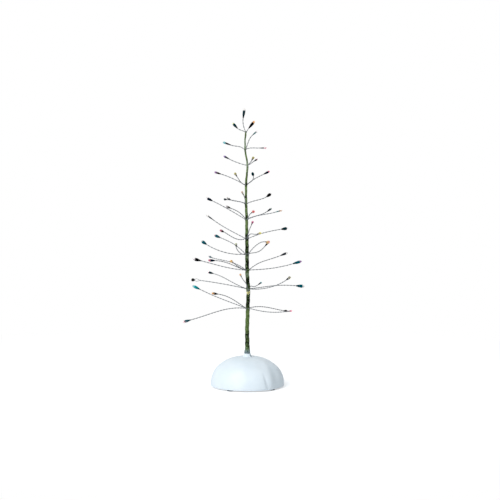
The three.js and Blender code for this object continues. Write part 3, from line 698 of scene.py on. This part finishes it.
# %% Columns and posts
COLUMN_X, COLUMN_Y, COLUMN_TOP = 14, 28.35, 21.6
POST_X = 10.5
TO_BASE = Matrix.Translation((BASE_X * MM, 0, 0)) @ Matrix.Rotation(radians(-36), 4, "Z")
column = turned(
    "column",
    [(1.4, 5.6), (2.8, 5.6), (3, 5.8), (3, 27), (1.4, 27), (1.4, 15.6), (1.4, 10)], 32, closed=True,
)
post = turned("post", [(1.1, 21.3), (2, 21.3), (2.2, 21.5), (2.2, 31), (1.1, 31)], 32, closed=True)
inside = []
for side_x in (-1, 1):
    for side_y in (-1, 1):
        spot = Vector((side_x * COLUMN_X, side_y * COLUMN_Y, 0))
        piece = place(copy_of(column, "column copy"), Matrix.Translation(spot * MM))
        outward = spot.normalized()
        cut(piece, (spot.x * MM, spot.y * MM, COLUMN_TOP * MM), (outward.x, outward.y, 1))
        inside.append(place(piece, TO_BASE))
    spot = Vector((side_x * POST_X, 0, 0)) * MM
    inside.append(place(copy_of(post, "post copy"), TO_BASE @ Matrix.Translation(spot)))
for pattern in (column, post):
    bpy.data.objects.remove(pattern)
mound = join("snow_mound", [mound] + inside)
smooth(mound, 50)
print("mound mesh has", len(mound.data.polygons), "faces")

# %% [markdown]
# The plastic has a satin shine, a little uneven, and is faintly blue. The notch beside the neck gets
# painted shade: it is marked on the mesh, and darkens the material there.

# %% Snow finish
snow = finish(
    "snow plastic", (234, 243, 250), (229, 240, 248), 0.5, size=60, grain_size=500,
    grain_depth=0.015, rough_change=0.06, Specular_IOR_Level=0.35, Coat_Weight=0.08,
    Coat_Roughness=0.3,
)
# Painted shade in the notch beside the neck: a mask round this point darkens the colour there.
NOTCH = Vector((BASE_X + 4.1, -1.2, MOUND_TOP + 0.6))
NOTCH_REACH = (0.75, 2, 1.7)


def notch_painted_shade(point):
    return exp(-sum((gap / reach) ** 2 for gap, reach in zip(point - NOTCH, NOTCH_REACH)))


point_attribute(mound, "notch_painted_shade", notch_painted_shade)
tree = snow.node_tree
base_color = tree.nodes["Principled BSDF"].inputs["Base Color"]
unshaded_color = base_color.links[0].from_socket
# The colour turns dark blue grey by the mask, as painted shade in the notch.
painted_shade_color = mixed(tree, attribute(tree, "notch_painted_shade"), unshaded_color, rgb(52, 66, 74))
tree.links.new(painted_shade_color, base_color)
dress(mound, snow)
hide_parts("base_shell")
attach(mound, "tree")
print("the mound is dressed")

# %% [markdown]
# ## Feet
# Four soft pads are glued under the plate. Each is a short turned disc with a rounded edge and a
# shallow dish, which keeps it from rocking.

# %% Feet
pad = turned(
    "foot",
    [(0, 0.25), (2.2, 0.22), (2.6, 0.05), (2.9, 0), (3.5, 0), (3.8, 0.12), (3.9, 0.4), (3.9, 1.0),
     (3.82, 1.16), (3.7, 1.2), (0, 1.2)],
    48,
)
rubber = finish(
    "foot rubber", (34, 38, 42), (48, 52, 56), 0.82, 700, 2500, 0.05, Specular_IOR_Level=0.2
)
for number in range(4):
    low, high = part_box(f"foot_{number + 1}")
    foot = copy_of(pad, f"rubber_foot_{number + 1}")
    place(foot, Matrix.Translation(((low.x + high.x) / 2, (low.y + high.y) / 2, 0)))
    dress(foot, rubber)
    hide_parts(f"foot_{number + 1}")
    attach(foot, "tree")
bpy.data.objects.remove(pad)
print("four feet are on")

# %% [markdown]
# ## Line of the trunk
# The stem was bent by hand, so it wanders by a millimetre or two. Its line is a short list of
# heights above the neck, with the sideways and backward place and the radius over the tape. Between
# them the line eases from one to the next.

# %% Trunk line
TRUNK_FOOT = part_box("trunk_wrap")[0].z / MM
TRUNK_HEIGHT = 241
TRUNK_LINE = [
    (0, 0.6, 0, 3.1), (0.017, 0.6, 0, 2.5), (0.104, 0.3, 0.4, 2.25), (0.2, 1, 0.5, 2.1),
    (0.278, 1.6, 0, 2.05), (0.373, 0.4, -0.4, 2.1), (0.465, 0.2, -0.2, 2.05),
    (0.606, -0.2, 0.4, 1.55), (0.689, -0.9, 0.3, 1.35), (0.759, -0.8, -0.2, 1.25),
    (0.846, 0.7, -0.3, 1), (0.921, -1.8, 0.1, 0.9), (0.959, -1.9, 0.3, 0.88), (1, -0.9, 0.2, 0.86),
]


def trunk_at(height):
    """Sideways place, backward place and radius of the trunk, all in mm."""
    share = min(1.0, max(0.0, height / TRUNK_HEIGHT))
    for low, high in zip(TRUNK_LINE, TRUNK_LINE[1:]):
        if share <= high[0]:
            part = (share - low[0]) / (high[0] - low[0])
            eased = part * part * (3 - 2 * part)
            x, y = (low[k] + (high[k] - low[k]) * eased for k in (1, 2))
            return x, y, low[3] + (high[3] - low[3]) * part
    return TRUNK_LINE[-1][1:]


print("trunk radius half way up:", round(trunk_at(TRUNK_HEIGHT / 2)[2], 2), "mm")

# %% [markdown]
# ## Wiring plan
# The lamps stand in eleven tiers. TIERS gives each one's height, as a share of the trunk's, and its
# number of lamps. Each lamp has eight numbers. The first three place it: its direction round the
# trunk, and its reach and its rise above the tier in hundredths of the widest reach. Then come the
# slope of its lead at the trunk, the direction and the slope in which the lamp points, and the
# length and the girth of its sleeve as shares of the usual ones. Its glass and its sleeve follow by
# name. LARGE lists the wider glasses.

# %% Wiring plan
WIDEST_REACH = 84
GLASS = {
    "rose": (250, 222, 228), "pink": (252, 176, 200), "magenta": (243, 146, 192),
    "orange": (252, 208, 150), "peach": (251, 230, 214), "yellow": (253, 247, 164),
    "lime": (244, 248, 218), "aqua": (164, 226, 230), "violet": (200, 170, 226),
    "plum": (204, 174, 212), "pearl": (250, 248, 247), "smoke": (120, 140, 146),
    "sand": (222, 218, 194), "ash": (206, 216, 212), "frost": (254, 250, 252),
    "straw": (226, 218, 156), "coral": (248, 160, 156), "amber": (253, 222, 158),
    # The lemon glass of lamp 45 is yellow lacquer made paler: partly its colour, partly a painted
    # highlight.
    "lemon": (254, 250, 176),
}
LARGE = {
    "straw": 1.12, "coral": 1.25, "lemon": 1.4, "yellow": 1.15, "amber": 1.2, "magenta": 1.12,
    "sand": 1.2,
}
SLEEVE = {
    "black": (0, 2, 5), "teal": (0, 48, 56), "petrol": (0, 92, 106), "cyan": (0, 164, 172),
    "navy": (0, 24, 44), "maroon": (34, 4, 14), "slate": (44, 54, 62), "olive": (30, 36, 16),
    "aqua": (84, 144, 146), "rust": (92, 40, 26), "moss": (104, 108, 70),
}
TIERS = [
    ("crown", 0.995, 3), ("tier_02", 0.921, 3), ("tier_03", 0.848, 3), ("tier_04", 0.761, 4),
    ("tier_05", 0.677, 4), ("tier_06", 0.607, 5), ("tier_07", 0.52, 5), ("tier_08", 0.449, 5),
    ("tier_09", 0.377, 6), ("tier_10", 0.292, 7), ("tier_11", 0.204, 5),
]
LAMPS = [
    (175, 2, 29, 66, 0, 82, 1.25, 1.1, "pearl", "teal"),
    (165, 17, 11, 36, 140, 40, 1, 1.1, "lime", "teal"),
    (317, 14, 13, 40, 345, 50, 1.15, 1.2, "orange", "black"),
    (56, 26, 22, 55, 50, 30, 1, 0.65, "frost", "aqua"),
    (195, 28, 8, 45, 190, 20, 1.1, 0.75, "aqua", "slate"),
    (331, 30, 1, 15, 345, 0, 1, 0.5, "rose", "slate"),
    (158, 32, 11, 10, 135, 20, 1, 0.75, "violet", "slate"),
    (285, 29, 10, 20, 285, 25, 1, 0.75, "straw", "slate"),
    (67, 31, 7, 5, 65, 15, 1, 0.65, "rose", "teal"),
    (197, 41, 16, 30, 215, 15, 1, 0.8, "plum", "maroon"),
    (250, 40, 15, -5, 255, 25, 1, 0.7, "straw", "slate"),
    (78, 40, 14, 5, 100, 30, 0.75, 1.2, "smoke", "teal"),
    (44, 41, 16, 35, 40, 20, 1, 0.95, "pink", "navy"),
    (263, 40, 16, 10, 255, 30, 1, 0.6, "peach", "moss"),
    (135, 40, 4, 15, 110, 0, 1, 0.85, "ash", "slate"),
    (234, 40, 8, 20, 245, 15, 1, 0.85, "pearl", "slate"),
    (39, 41, 11, 20, 55, 20, 1, 1.3, "frost", "black"),
    (165, 53, 26, 30, 145, 20, 1, 1.1, "frost", "navy"),
    (241, 52, 18, 35, 235, 15, 1, 0.9, "frost", "olive"),
    (280, 51, 12, 0, 290, 15, 1, 0.7, "coral", "maroon"),
    (53, 53, 11, 15, 55, 20, 1, 0.8, "ash", "slate"),
    (329, 51, 12, 25, 335, 15, 1, 0.5, "peach", "aqua"),
    (155, 57, 28, 25, 170, 35, 1.1, 0.6, "pearl", "slate"),
    (234, 56, 13, -20, 245, 15, 1, 1, "pink", "maroon"),
    (278, 53, 24, 40, 280, 25, 1, 0.65, "magenta", "olive"),
    (288, 55, 10, 45, 295, 10, 1, 0.6, "yellow", "rust"),
    (29, 60, 11, 20, 35, 5, 1, 1.3, "frost", "teal"),
    (133, 62, 21, 35, 140, 15, 1, 1.2, "rose", "petrol"),
    (256, 56, 17, -5, 270, 25, 1, 0.8, "lime", "olive"),
    (163, 61, 15, -10, 130, 20, 1, 1.35, "pearl", "petrol"),
    (296, 59, 19, 35, 290, 0, 1, 0.65, "amber", "rust"),
    (62, 61, 12, 5, 50, 35, 1, 0.85, "coral", "maroon"),
    (133, 74, 13, 30, 115, 5, 1, 0.7, "frost", "petrol"),
    (228, 71, 17, 15, 220, 5, 1, 1.05, "pink", "navy"),
    (197, 71, 16, 5, 200, 15, 1, 1.35, "frost", "black"),
    (253, 68, 17, 10, 250, 20, 1, 0.75, "amber", "rust"),
    (44, 73, 18, 30, 15, 20, 1, 1, "pearl", "slate"),
    (19, 74, 9, 0, 10, 15, 1.2, 1.2, "plum", "petrol"),
    (128, 86, 15, 5, 130, 5, 1, 1, "rose", "teal"),
    (154, 82, 8, 10, 110, -5, 1, 1.35, "smoke", "black"),
    (262, 70, 25, 35, 260, 25, 1, 0.6, "orange", "slate"),
    (314, 75, 20, 0, 300, 25, 1, 0.85, "sand", "slate"),
    (74, 62, 2, 20, 60, 15, 1, 0.6, "aqua", "slate"),
    (39, 95, -3, 0, 5, -5, 1.1, 1.4, "pearl", "petrol"),
    (270, 69, 2, 0, 270, -6, 1, 1.1, "lemon", "olive"),
    (148, 85, 24, 15, 170, 25, 1, 1.25, "aqua", "cyan"),
    (235, 76, 26, 25, 230, 10, 1, 1, "orange", "black"),
    (217, 100, -10, 10, 210, -10, 1, 1.1, "rose", "petrol"),
    (52, 85, -12, 5, 55, -10, 0.65, 1, "rose", "black"),
    (311, 83, 4, -5, 315, 10, 0.8, 0.45, "pink", "slate"),
]
print("lamps:", len(LAMPS), "in", len(TIERS), "tiers")

# %% [markdown]
# ## Stem tape
# The trunk is wound with stretchy green tape, each turn lapping over the last. A plain tube with a
# painted spiral would do from afar, but close up the laps make small steps in its edge. So one edge
# of the band is drawn, the Screw modifier winds it into a helix of overlapping turns, and a Curve
# modifier bends the straight winding along the trunk's line and gives it the trunk's thickness.

# %% Winding
TAPE_PITCH = 8.5
TAPE_TURNS = math.ceil(TRUNK_HEIGHT / TAPE_PITCH) + 4
TAPE_THICKNESS = 0.06
BAND = [(0.93, 0), (0.9, 3), (0.93, 7), (1, 8.6), (1.04, 11), (1, 12.2)]
tape = chain("stem_tape", [(radius, 0, z - 2 * TAPE_PITCH) for radius, z in BAND])
wind(tape, "Z", TAPE_PITCH, TAPE_TURNS, 28)
edit(tape)
pick_all()
bpy.ops.mesh.normals_make_consistent(inside=False)
finish_edit()
thickness = tape.modifiers.new("thickness", "SOLIDIFY")
thickness.thickness = TAPE_THICKNESS * MM
thickness.offset = -1
apply_all(tape)
print("winding is", round(tape.dimensions.z / MM), "mm long, in", TAPE_TURNS, "turns")

# %% [markdown]
# The winding is first cut to the trunk's length. It swells where a tier's leads leave it and at its
# foot, and narrows at its tip.

# %% Bend the winding along the trunk
LINE_STEPS = 160
HUB_SWELL, HUB_REACH = 0.14, 3.2
FOOT_SWELL, FOOT_REACH = 0.4, 3.5
RIPPLE = 0.05
trunk_points, trunk_radii = [], []
for step in range(LINE_STEPS + 1):
    height = TRUNK_HEIGHT * step / LINE_STEPS
    x, y, radius = trunk_at(height)
    swell = sum(
        HUB_SWELL * exp(-(((height - share * TRUNK_HEIGHT) / HUB_REACH) ** 2))
        for _, share, _ in TIERS
    )
    swell += RIPPLE * sin(height * 0.9) * sin(height * 0.37)
    swell += FOOT_SWELL * exp(-(((height - 1.5) / FOOT_REACH) ** 2))
    end = min(1.0, 0.35 + (TRUNK_HEIGHT - height) / 2)
    trunk_points.append(Vector((x, y, TRUNK_FOOT + height)))
    trunk_radii.append((radius + swell) * end)
line, spline = new_curve("trunk line", "POLY")
spline.points.add(LINE_STEPS)
for target, point, radius in zip(spline.points, trunk_points, trunk_radii):
    target.co = (*(point * MM), 1)
    target.radius = radius
length = sum((b - a).length for a, b in zip(trunk_points, trunk_points[1:]))
for level, normal in ((0, -1), (length * MM, 1)):
    cut(tape, (0, 0, level), (0, 0, normal))
bend_along(tape, line, "POS_Z")
smooth(tape, 50)
print("trunk line is", round(length, 1), "mm long; tape has", len(tape.data.polygons), "faces")

# %% [markdown]
# The tape is nearly black where it is bunched, and pale where it is stretched thin. The foot of the
# trunk is paler and bluer grey. Three attributes on the mesh say where that is, and the material
# mixes its colours by them. Small pale flecks are folds that catch the light. Fine creases run round
# the trunk.

# %% Bunched and stretched places
BUNCHED = [
    (6, 0.7), (11.5, 2.6), (19.5, 4), (57, 9), (78.5, 8.5), (97, 8), (112.5, 7.5), (126.5, 4.8),
    (148, 1.8), (161.5, 1.2), (170.2, 1.6), (184.5, 2.5), (193.8, 1.5), (220.5, 1.2), (236, 1.5),
]
STRETCHED = [(86.5, 1.6), (105.3, 1.2), (205, 5), (227, 6.5)]
FOOT_TONED = [(0, 4)]


def mark(name, places):
    """Marks the tape from 0 to 1 near the given heights, each with its own reach in mm."""
    def amount(point):
        height = point.z - TRUNK_FOOT
        return max(exp(-(((height - middle) / reach) ** 4)) for middle, reach in places)

    point_attribute(tape, name, amount)


mark("bunched", BUNCHED)
mark("stretched", STRETCHED)
mark("foot_toned", FOOT_TONED)
print("marked", len(BUNCHED), "bunched and", len(STRETCHED), "stretched places")

# %% Tape finish
FLECK_STRENGTH = 0.75
tape_material, tree, shader = new_material(
    "stem tape", (80, 98, 60), 0.8, Specular_IOR_Level=0.06
)
plain = mottled(tree, (66, 90, 40), (110, 130, 80), 300)
dark = mottled(tree, (0, 2, 0), (18, 32, 8), 420)
pale = mottled(tree, (84, 104, 76), (150, 164, 138), 500)
foot_tone = mottled(tree, (40, 58, 60), (150, 168, 172), 700)
fleck = mottled(tree, (20, 40, 10), (140, 172, 116), 640, 0.56, 0.64)
fold = maths(tree, "MULTIPLY", fleck["Mask"], FLECK_STRENGTH)
color = mixed(tree, attribute(tree, "bunched"), plain["Color"], dark["Color"])
color = mixed(tree, attribute(tree, "stretched"), color, pale["Color"])
color = mixed(tree, fold, color, fleck["Color"])
# Paler and bluer grey towards the foot of the trunk.
color = mixed(tree, attribute(tree, "foot_toned"), color, foot_tone["Color"])
tree.links.new(color, shader.inputs["Base Color"])
across = add_node(tree, "Mapping", {"Vector": object_place(tree), "Scale": (300, 300, 2400)})
creases = add_node(
    tree, "TexNoise", {"Vector": across.outputs["Vector"], "Scale": 1, "Detail": 4}
)
bump = add_node(
    tree, "Bump", {"Distance": 0.25 * MM, "Strength": 0.8, "Height": creases.outputs["Fac"]}
)
tree.links.new(bump.outputs["Normal"], shader.inputs["Normal"])
dress(tape, tape_material)
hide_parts("trunk_wrap")
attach(tape, "tree")
print("tape is dressed")

# %% [markdown]
# ## Twisted leads
# Each lamp hangs on two thin insulated wires, twisted together. Curves with a round bevel would
# make plain wires. For the twist, two small circles are drawn side by side and the Screw modifier
# winds them into a straight pair. Every branch gets a copy of it, cut to length and bent along its
# own curve.

# %% Straight pair
WIRE_RADIUS = 0.25
PAIR_PITCH = 8
PAIR_TURNS = 12
PAIR_STEPS = 10
deselect_all()
bpy.ops.mesh.primitive_circle_add(
    vertices=7, radius=WIRE_RADIUS * MM, location=(0, WIRE_RADIUS * 1.05 * MM, 0),
    rotation=(0, pi / 2, 0),
)
pair = bpy.context.object
pair.name = pair.data.name = "straight_pair"
bpy.ops.object.transform_apply()
edit(pair)
pick_all()
bpy.ops.mesh.duplicate_move(TRANSFORM_OT_translate={"value": (0, -2.1 * WIRE_RADIUS * MM, 0)})
finish_edit()
wind(pair, "X", PAIR_PITCH, PAIR_TURNS, PAIR_STEPS)
print("straight pair is", round(pair.dimensions.x / MM), "mm long")

# %% [markdown]
# Where a pair comes out from under the tape, its two wires stand apart before the twist takes hold.
# The first ring of each wire is pulled sideways, and proportional editing carries the rest along.

# %% Spread the root
ROOT_SPREAD = 0.45
edit(pair)
for side in (1, -1):
    pick(pair, lambda vert: abs(vert.co.x) < 0.05 * MM and vert.co.y * side > 0)
    nudge((0, side * ROOT_SPREAD * MM, 0), 5, connected=True)
finish_edit()
print("root is", round(2 * max(v.co.y for v in pair.data.vertices) / MM, 2), "mm wide")

# %% [markdown]
# ## Shrink sleeves
# A short dark sleeve is shrunk over the joint between lead and lamp. It is tight on the wires and
# widens like a drop to the glass, which it grips. It is turned once, pointing along Z from its wire
# end, and its surface has the slight waves that shrinking leaves.

# %% Sleeve
SLEEVE_LENGTH = 6.4
LAMP_LENGTH = 2.6
sleeve = turned(
    "sleeve",
    [(0.36, 0.6), (0.42, 0.1), (0.5, 0), (0.58, 0.1), (0.64, 0.6), (0.78, 1.5), (1.0, 2.6),
     (1.18, 3.7), (1.26, 4.7), (1.3, 5.6), (1.3, 6.15), (1.24, 6.4), (1.12, 6.36), (1.08, 5.9),
     (1.05, 5.0)],
    14,
)
edit(sleeve)
pick(sleeve, lambda vert: abs(vert.co.z / MM - 2.6) < 0.2 and vert.co.x > 0)
bpy.ops.transform.translate(value=(0.1 * MM, 0, 0))
pick(sleeve, lambda vert: abs(vert.co.z / MM - 3.7) < 0.2 and vert.co.x < 0)
bpy.ops.transform.translate(value=(-0.06 * MM, 0.03 * MM, 0))
finish_edit()
print("sleeve has", len(sleeve.data.polygons), "faces")

# %% [markdown]
# ## Lamps
# The lamp is a grain of glass with a drawn tip, dipped in coloured lacquer. Its glass is a turned
# shell with a real wall. Inside are a bead that holds two posts, and the filament between them.

# %% Glass
glass = turned(
    "glass",
    [(0, 2.6), (0.14, 2.57), (0.26, 2.44), (0.58, 2.26), (0.94, 1.86), (1.16, 1.3), (1.24, 0.7),
     (1.22, 0.1), (1.1, -0.3), (0.92, -0.8), (0.86, -1.6), (0.7, -1.6), (0.74, -0.8), (0.96, -0.2),
     (1.06, 0.2), (1.08, 0.7), (1.0, 1.25), (0.8, 1.7), (0.46, 2.04), (0.18, 2.18), (0, 2.22)],
    14,
)
bead = turned(
    "bead",
    [(0, 0), (0.3, -0.05), (0.46, -0.3), (0.66, -0.8), (0.66, -1.5), (0.4, -1.6), (0, -1.6)], 10,
)
print("glass has", len(glass.data.polygons), "faces")

# %% Filament
WIRE, POST_REACH, POST_LEAN = 0.05, 0.3, 0.12
posts = []
for side in (1, -1):
    deselect_all()
    middle = (side * POST_REACH * MM, 0, 0.55 * MM)
    bpy.ops.mesh.primitive_cylinder_add(
        vertices=5, radius=WIRE * MM, depth=1.4 * MM, location=middle
    )
    wire = bpy.context.object
    bpy.ops.object.transform_apply()
    edit(wire)
    pick(wire, lambda vert: vert.co.z > 1.1 * MM)
    bpy.ops.transform.translate(value=(side * POST_LEAN * MM, 0, 0))
    finish_edit()
    posts.append(wire)
angles = [pi * i / 8 for i in range(9)]
thread = chain("thread", [(0.42 * cos(a), 0.1 * sin(3 * a), 1.2 + 0.28 * sin(a)) for a in angles])
thread.modifiers.new("skin", "SKIN")
for point in thread.data.skin_vertices[0].data:
    point.radius = (WIRE * MM, WIRE * MM)
apply_all(thread)
filament = join("filament", posts + [thread])
print("filament has", len(filament.data.polygons), "faces")

# %% [markdown]
# ## Glass, sleeve, wire and filament finishes
# The lamps share one glass and the sleeves one plastic. The colour of each single lamp and sleeve
# is kept on its mesh as a colour attribute, which the material reads.

# %% Finishes of the lamps
lamp_glass, tree, shader = new_material(
    "lamp glass", (240, 200, 200), 0.08, IOR=1.45, Transmission_Weight=0.85
)
tree.links.new(attribute(tree, "tint", "Color"), shader.inputs["Base Color"])
add_grain(tree, shader, 1400, 0.05)
sleeve_plastic, tree, shader = new_material(
    "shrink sleeve", (20, 24, 28), 0.55, Specular_IOR_Level=0.02
)
tree.links.new(attribute(tree, "tint", "Color"), shader.inputs["Base Color"])
add_grain(tree, shader, 1100, 0.12)
lead_plastic = finish(
    "lead insulation", (142, 146, 150), (114, 118, 122), 0.6, 500, 1500, Specular_IOR_Level=0.2
)
bead_glass = finish("bead glass", (226, 230, 228), (204, 210, 208), 0.25, 900)
filament_metal = finish(
    "filament metal", (120, 118, 116), (90, 86, 82), 0.4, 2000, metallic=0.9
)
print("lamp finishes:", lamp_glass.name, sleeve_plastic.name, lead_plastic.name)

# %% [markdown]
# ## Put the tiers together
# A lead follows a curve with two handles, from the trunk to the back of the sleeve. The sleeve and
# the lamp carry on straight in the direction in which the lead ends.

# %% Branch line
LEAD_BEND = 0.36
HUB_ROOM = 0.65
TIP = 0.98 * TRUNK_HEIGHT


def pointing(turn, slope):
    turn, slope = radians(turn), radians(slope)
    return Vector((cos(turn) * cos(slope), sin(turn) * cos(slope), sin(slope)))


def branch_line(tier_height, lamp):
    """Start, two handles and end of a lead, and its last direction, in mm."""
    turn, reach, rise, leaves, faces, ends, stretch = lamp[:7]
    x, y, radius = trunk_at(tier_height)
    centre = Vector((x, y, TRUNK_FOOT + tier_height))
    outward = pointing(turn, 0)
    ending = pointing(faces, ends)
    unit = WIDEST_REACH / 100
    back = SLEEVE_LENGTH * stretch + LAMP_LENGTH / 2
    start = centre + outward * (0.3 * radius if tier_height > TIP else radius + HUB_ROOM)
    end = centre + outward * reach * unit + Vector((0, 0, rise * unit)) - ending * back
    pull = LEAD_BEND * (end - start).length
    return start, start + pointing(turn, leaves) * pull, end - ending * pull, end, ending


print("branches can be laid out")

# %% [markdown]
# In one pair, low on the left, the two wires stand apart before the sleeve, like a long eye. Its
# end is untwisted, each wire is pulled outward, and the pair is turned so that the eye faces the
# front.

# %% Open pair
OPEN_PAIR = 40
EYE_REACH = 6
EYE_PULL = 1.15
EYE_TURN = 1.5


def open_eye(lead, middle):
    """Untwists the end of a pair, and pulls its two wires apart at a place along it in mm."""
    step = PAIR_PITCH / PAIR_STEPS
    ring = round(middle / step) * step
    for vert in lead.data.vertices:
        beyond = vert.co.x / MM - (ring - EYE_REACH)
        if beyond > 0:
            vert.co = Matrix.Rotation(-2 * pi * beyond / PAIR_PITCH, 3, "X") @ vert.co
    edit(lead)
    pick(lead, lambda vert: vert.index == 0)
    bpy.ops.mesh.select_linked()
    verts = bmesh.from_edit_mesh(lead.data).verts
    wire = {vert.index for vert in verts if vert.select}
    for first in (True, False):
        pick(lead, lambda vert: abs(vert.co.x / MM - ring) < 0.1 and (vert.index in wire) == first)
        chosen = [vert.co for vert in verts if vert.select]
        center = sum(chosen, Vector()) / len(chosen)
        outward = Vector((0, center.y, center.z)).normalized()
        nudge(outward * EYE_PULL * MM, EYE_REACH, connected=True)
    finish_edit()


print("lamp", OPEN_PAIR, "has the open pair")


# %% Bent pair
ROOT_ROOM = 1.2
INTO_SLEEVE = 0.6


def bent_pair(name, line, roll, opened):
    """A copy of the straight pair, cut to the curve's length and bent along it."""
    start, first, second, end, ending = line
    curve, spline = new_curve(name, "BEZIER")
    spline.resolution_u = 24
    spline.bezier_points.add(1)
    root = start - (first - start).normalized() * ROOT_ROOM
    left, right = spline.bezier_points
    left.co, left.handle_left, left.handle_right = root * MM, root * MM, first * MM
    right.co, right.handle_left, right.handle_right = end * MM, second * MM, (end + ending) * MM
    length = spline.calc_length() + INTO_SLEEVE * MM
    lead = copy_of(pair, name)
    cut(lead, (length, 0, 0), (1, 0, 0))
    if opened:
        open_eye(lead, length / MM - EYE_REACH)
    lead.data.transform(Matrix.Rotation(roll, 4, "X"))
    bend_along(lead, curve, "POS_X")
    return lead, length / MM


print("leads can be bent")

# %% [markdown]
# Each sleeve is darker at its wire end, where it is shrunk the most. All leads, sleeves or lamps of
# a tier are then joined into one piece.


# %% Fifty branches
def tint(piece, color, tail=1):
    """Gives each point a colour, darker at the foot of the piece where tail is under 1."""
    layer = piece.data.color_attributes.new("tint", "FLOAT_COLOR", "POINT")
    top = max(vert.co.z for vert in piece.data.vertices)
    for vert, entry in zip(piece.data.vertices, layer.data):
        level = tail + (1 - tail) * (vert.co.z / top)
        entry.color = (*(part * level for part in rgb(*color)[:3]), 1)


LAMP_PARTS = [(glass, lamp_glass), (bead, bead_glass), (filament, filament_metal)]
LEAD_ROLL, LAMP_ROLL = 2.4, 1.7
SLEEVE_TAIL = 0.3
number = 0
lengths = []
for tier, share, count in TIERS:
    leads, sleeves, bulbs = [], [], []
    for lamp in LAMPS[number:number + count]:
        number += 1
        line = branch_line(share * TRUNK_HEIGHT, lamp)
        opened = number == OPEN_PAIR
        roll = LEAD_ROLL * number + EYE_TURN * opened
        lead, length = bent_pair(f"lead {number}", line, roll, opened)
        lengths.append(length)
        leads.append(lead)
        end, ending = line[3:]
        turn = ending.to_track_quat("Z", "Y").to_matrix().to_4x4()
        at_end = Matrix.Translation(end * MM) @ turn @ Matrix.Rotation(LAMP_ROLL * number, 4, "Z")
        stretch, girth, glass_name, sleeve_name = lamp[6:]
        film = copy_of(sleeve, f"sleeve {number}")
        tint(film, SLEEVE[sleeve_name], SLEEVE_TAIL)
        sleeves.append(place(film, at_end @ Matrix.Diagonal((girth, girth, stretch, 1))))
        at_lamp = at_end @ Matrix.Translation((0, 0, SLEEVE_LENGTH * stretch * MM))
        width = min(1, girth + 0.3) * LARGE.get(glass_name, 1)
        slim = at_lamp @ Matrix.Diagonal((width, width, 1, 1))
        for pattern, material in LAMP_PARTS:
            bulb = place(copy_of(pattern, f"{pattern.name} {number}"), slim)
            if pattern == glass:
                tint(bulb, GLASS[glass_name])
            dress(bulb, material)
            bulbs.append(bulb)
    for kind, parts, slot_name, material in (
        ("leads", leads, "lead_insulation", lead_plastic),
        ("sleeves", sleeves, "lamp_spray", sleeve_plastic), ("lamps", bulbs, "lamp_spray", None),
    ):
        piece = join(f"{tier}_{kind}", parts)
        if material:
            dress(piece, material)
        smooth(piece, 50)
        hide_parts(f"{tier}_lights")
        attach(piece, "tree")
for pattern in (pair, sleeve, glass, bead, filament):
    bpy.data.objects.remove(pattern)
print("branches:", number, "leads from", round(min(lengths), 1), "to", round(max(lengths), 1), "mm")

# %% [markdown]
# ## Pieces that keep their CAD shape
# The plate, door, screws, switch, board, contacts and inner wires already have their shapes. Each
# gets a finish of its own. Their edges are sharp in the solids, so the finishes round them in the
# shading.

# %% Finishes of the base's inner pieces
# Name, two colours, roughness, patch size, grain size, grain depth, metal, rounded edge, pieces
INNER_FINISHES = [
    ("plate plastic", (224, 230, 234), (216, 223, 228), 0.55, 80, 2200, 0.06, 0, 0.25,
     ("base_plate", "battery_door")),
    ("screw steel", (176, 178, 182), (150, 152, 156), 0.35, 900, 3000, 0.02, 1, 0.12,
     ("plate_screw", "board_screw")),
    ("contact nickel", (196, 194, 186), (172, 170, 160), 0.28, 500, 2600, 0.02, 1, 0.1, "contact_"),
    ("switch plastic", (26, 27, 29), (34, 35, 37), 0.5, 900, 3000, 0.03, 0, 0.12,
     ("switch_", "controller_chip")),
    ("board laminate", (34, 92, 58), (24, 74, 46), 0.45, 260, 3600, 0.02, 0, 0.1, "circuit_board"),
    ("red wire", (168, 38, 32), (146, 30, 26), 0.45, 400, 900, 0.02, 0, 0.2,
     ("lead_cell_to_switch", "lead_switch_to_board")),
    ("black wire", (28, 28, 30), (38, 38, 40), 0.45, 400, 900, 0.02, 0, 0.2, "lead_board_to_cell"),
    ("bushing nylon", (216, 212, 198), (204, 200, 184), 0.5, 300, 900, 0.02, 0, 0.15,
     "trunk_bushing"),
    ("trunk steel", (150, 148, 144), (120, 116, 110), 0.4, 300, 900, 0.02, 1, 0, "trunk_core"),
    ("bundled leads", (120, 122, 124), (84, 88, 90), 0.5, 900, 700, 0.3, 0, 0, "lead_bundle"),
    ("cell jacket", (66, 110, 146), (58, 100, 136), 0.35, 200, 900, 0.02, 0.4, 0, "battery_cell"),
]
for label, *values, pieces in INNER_FINISHES:
    material = finish(label, *values)
    for name, node in frame["nodes"].items():
        if name.startswith(pieces):
            for index in range(len(node.data.materials)):
                node.data.materials[index] = material
            if not node.data.materials:
                node.data.materials.append(material)
print("finishes:", len(bpy.data.materials))

# %% [markdown]
# ## Size of the dressed object
# The dressed object must keep the size of the CAD model. Both boxes are printed, axis by axis.

# %% Size
new_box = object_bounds()
for axis, label in enumerate("xyz"):
    old = [round(corner[axis] / MM, 1) for corner in cad_box]
    new = [round(corner[axis] / MM, 1) for corner in new_box]
    print(label, "CAD", old, "visual", new)
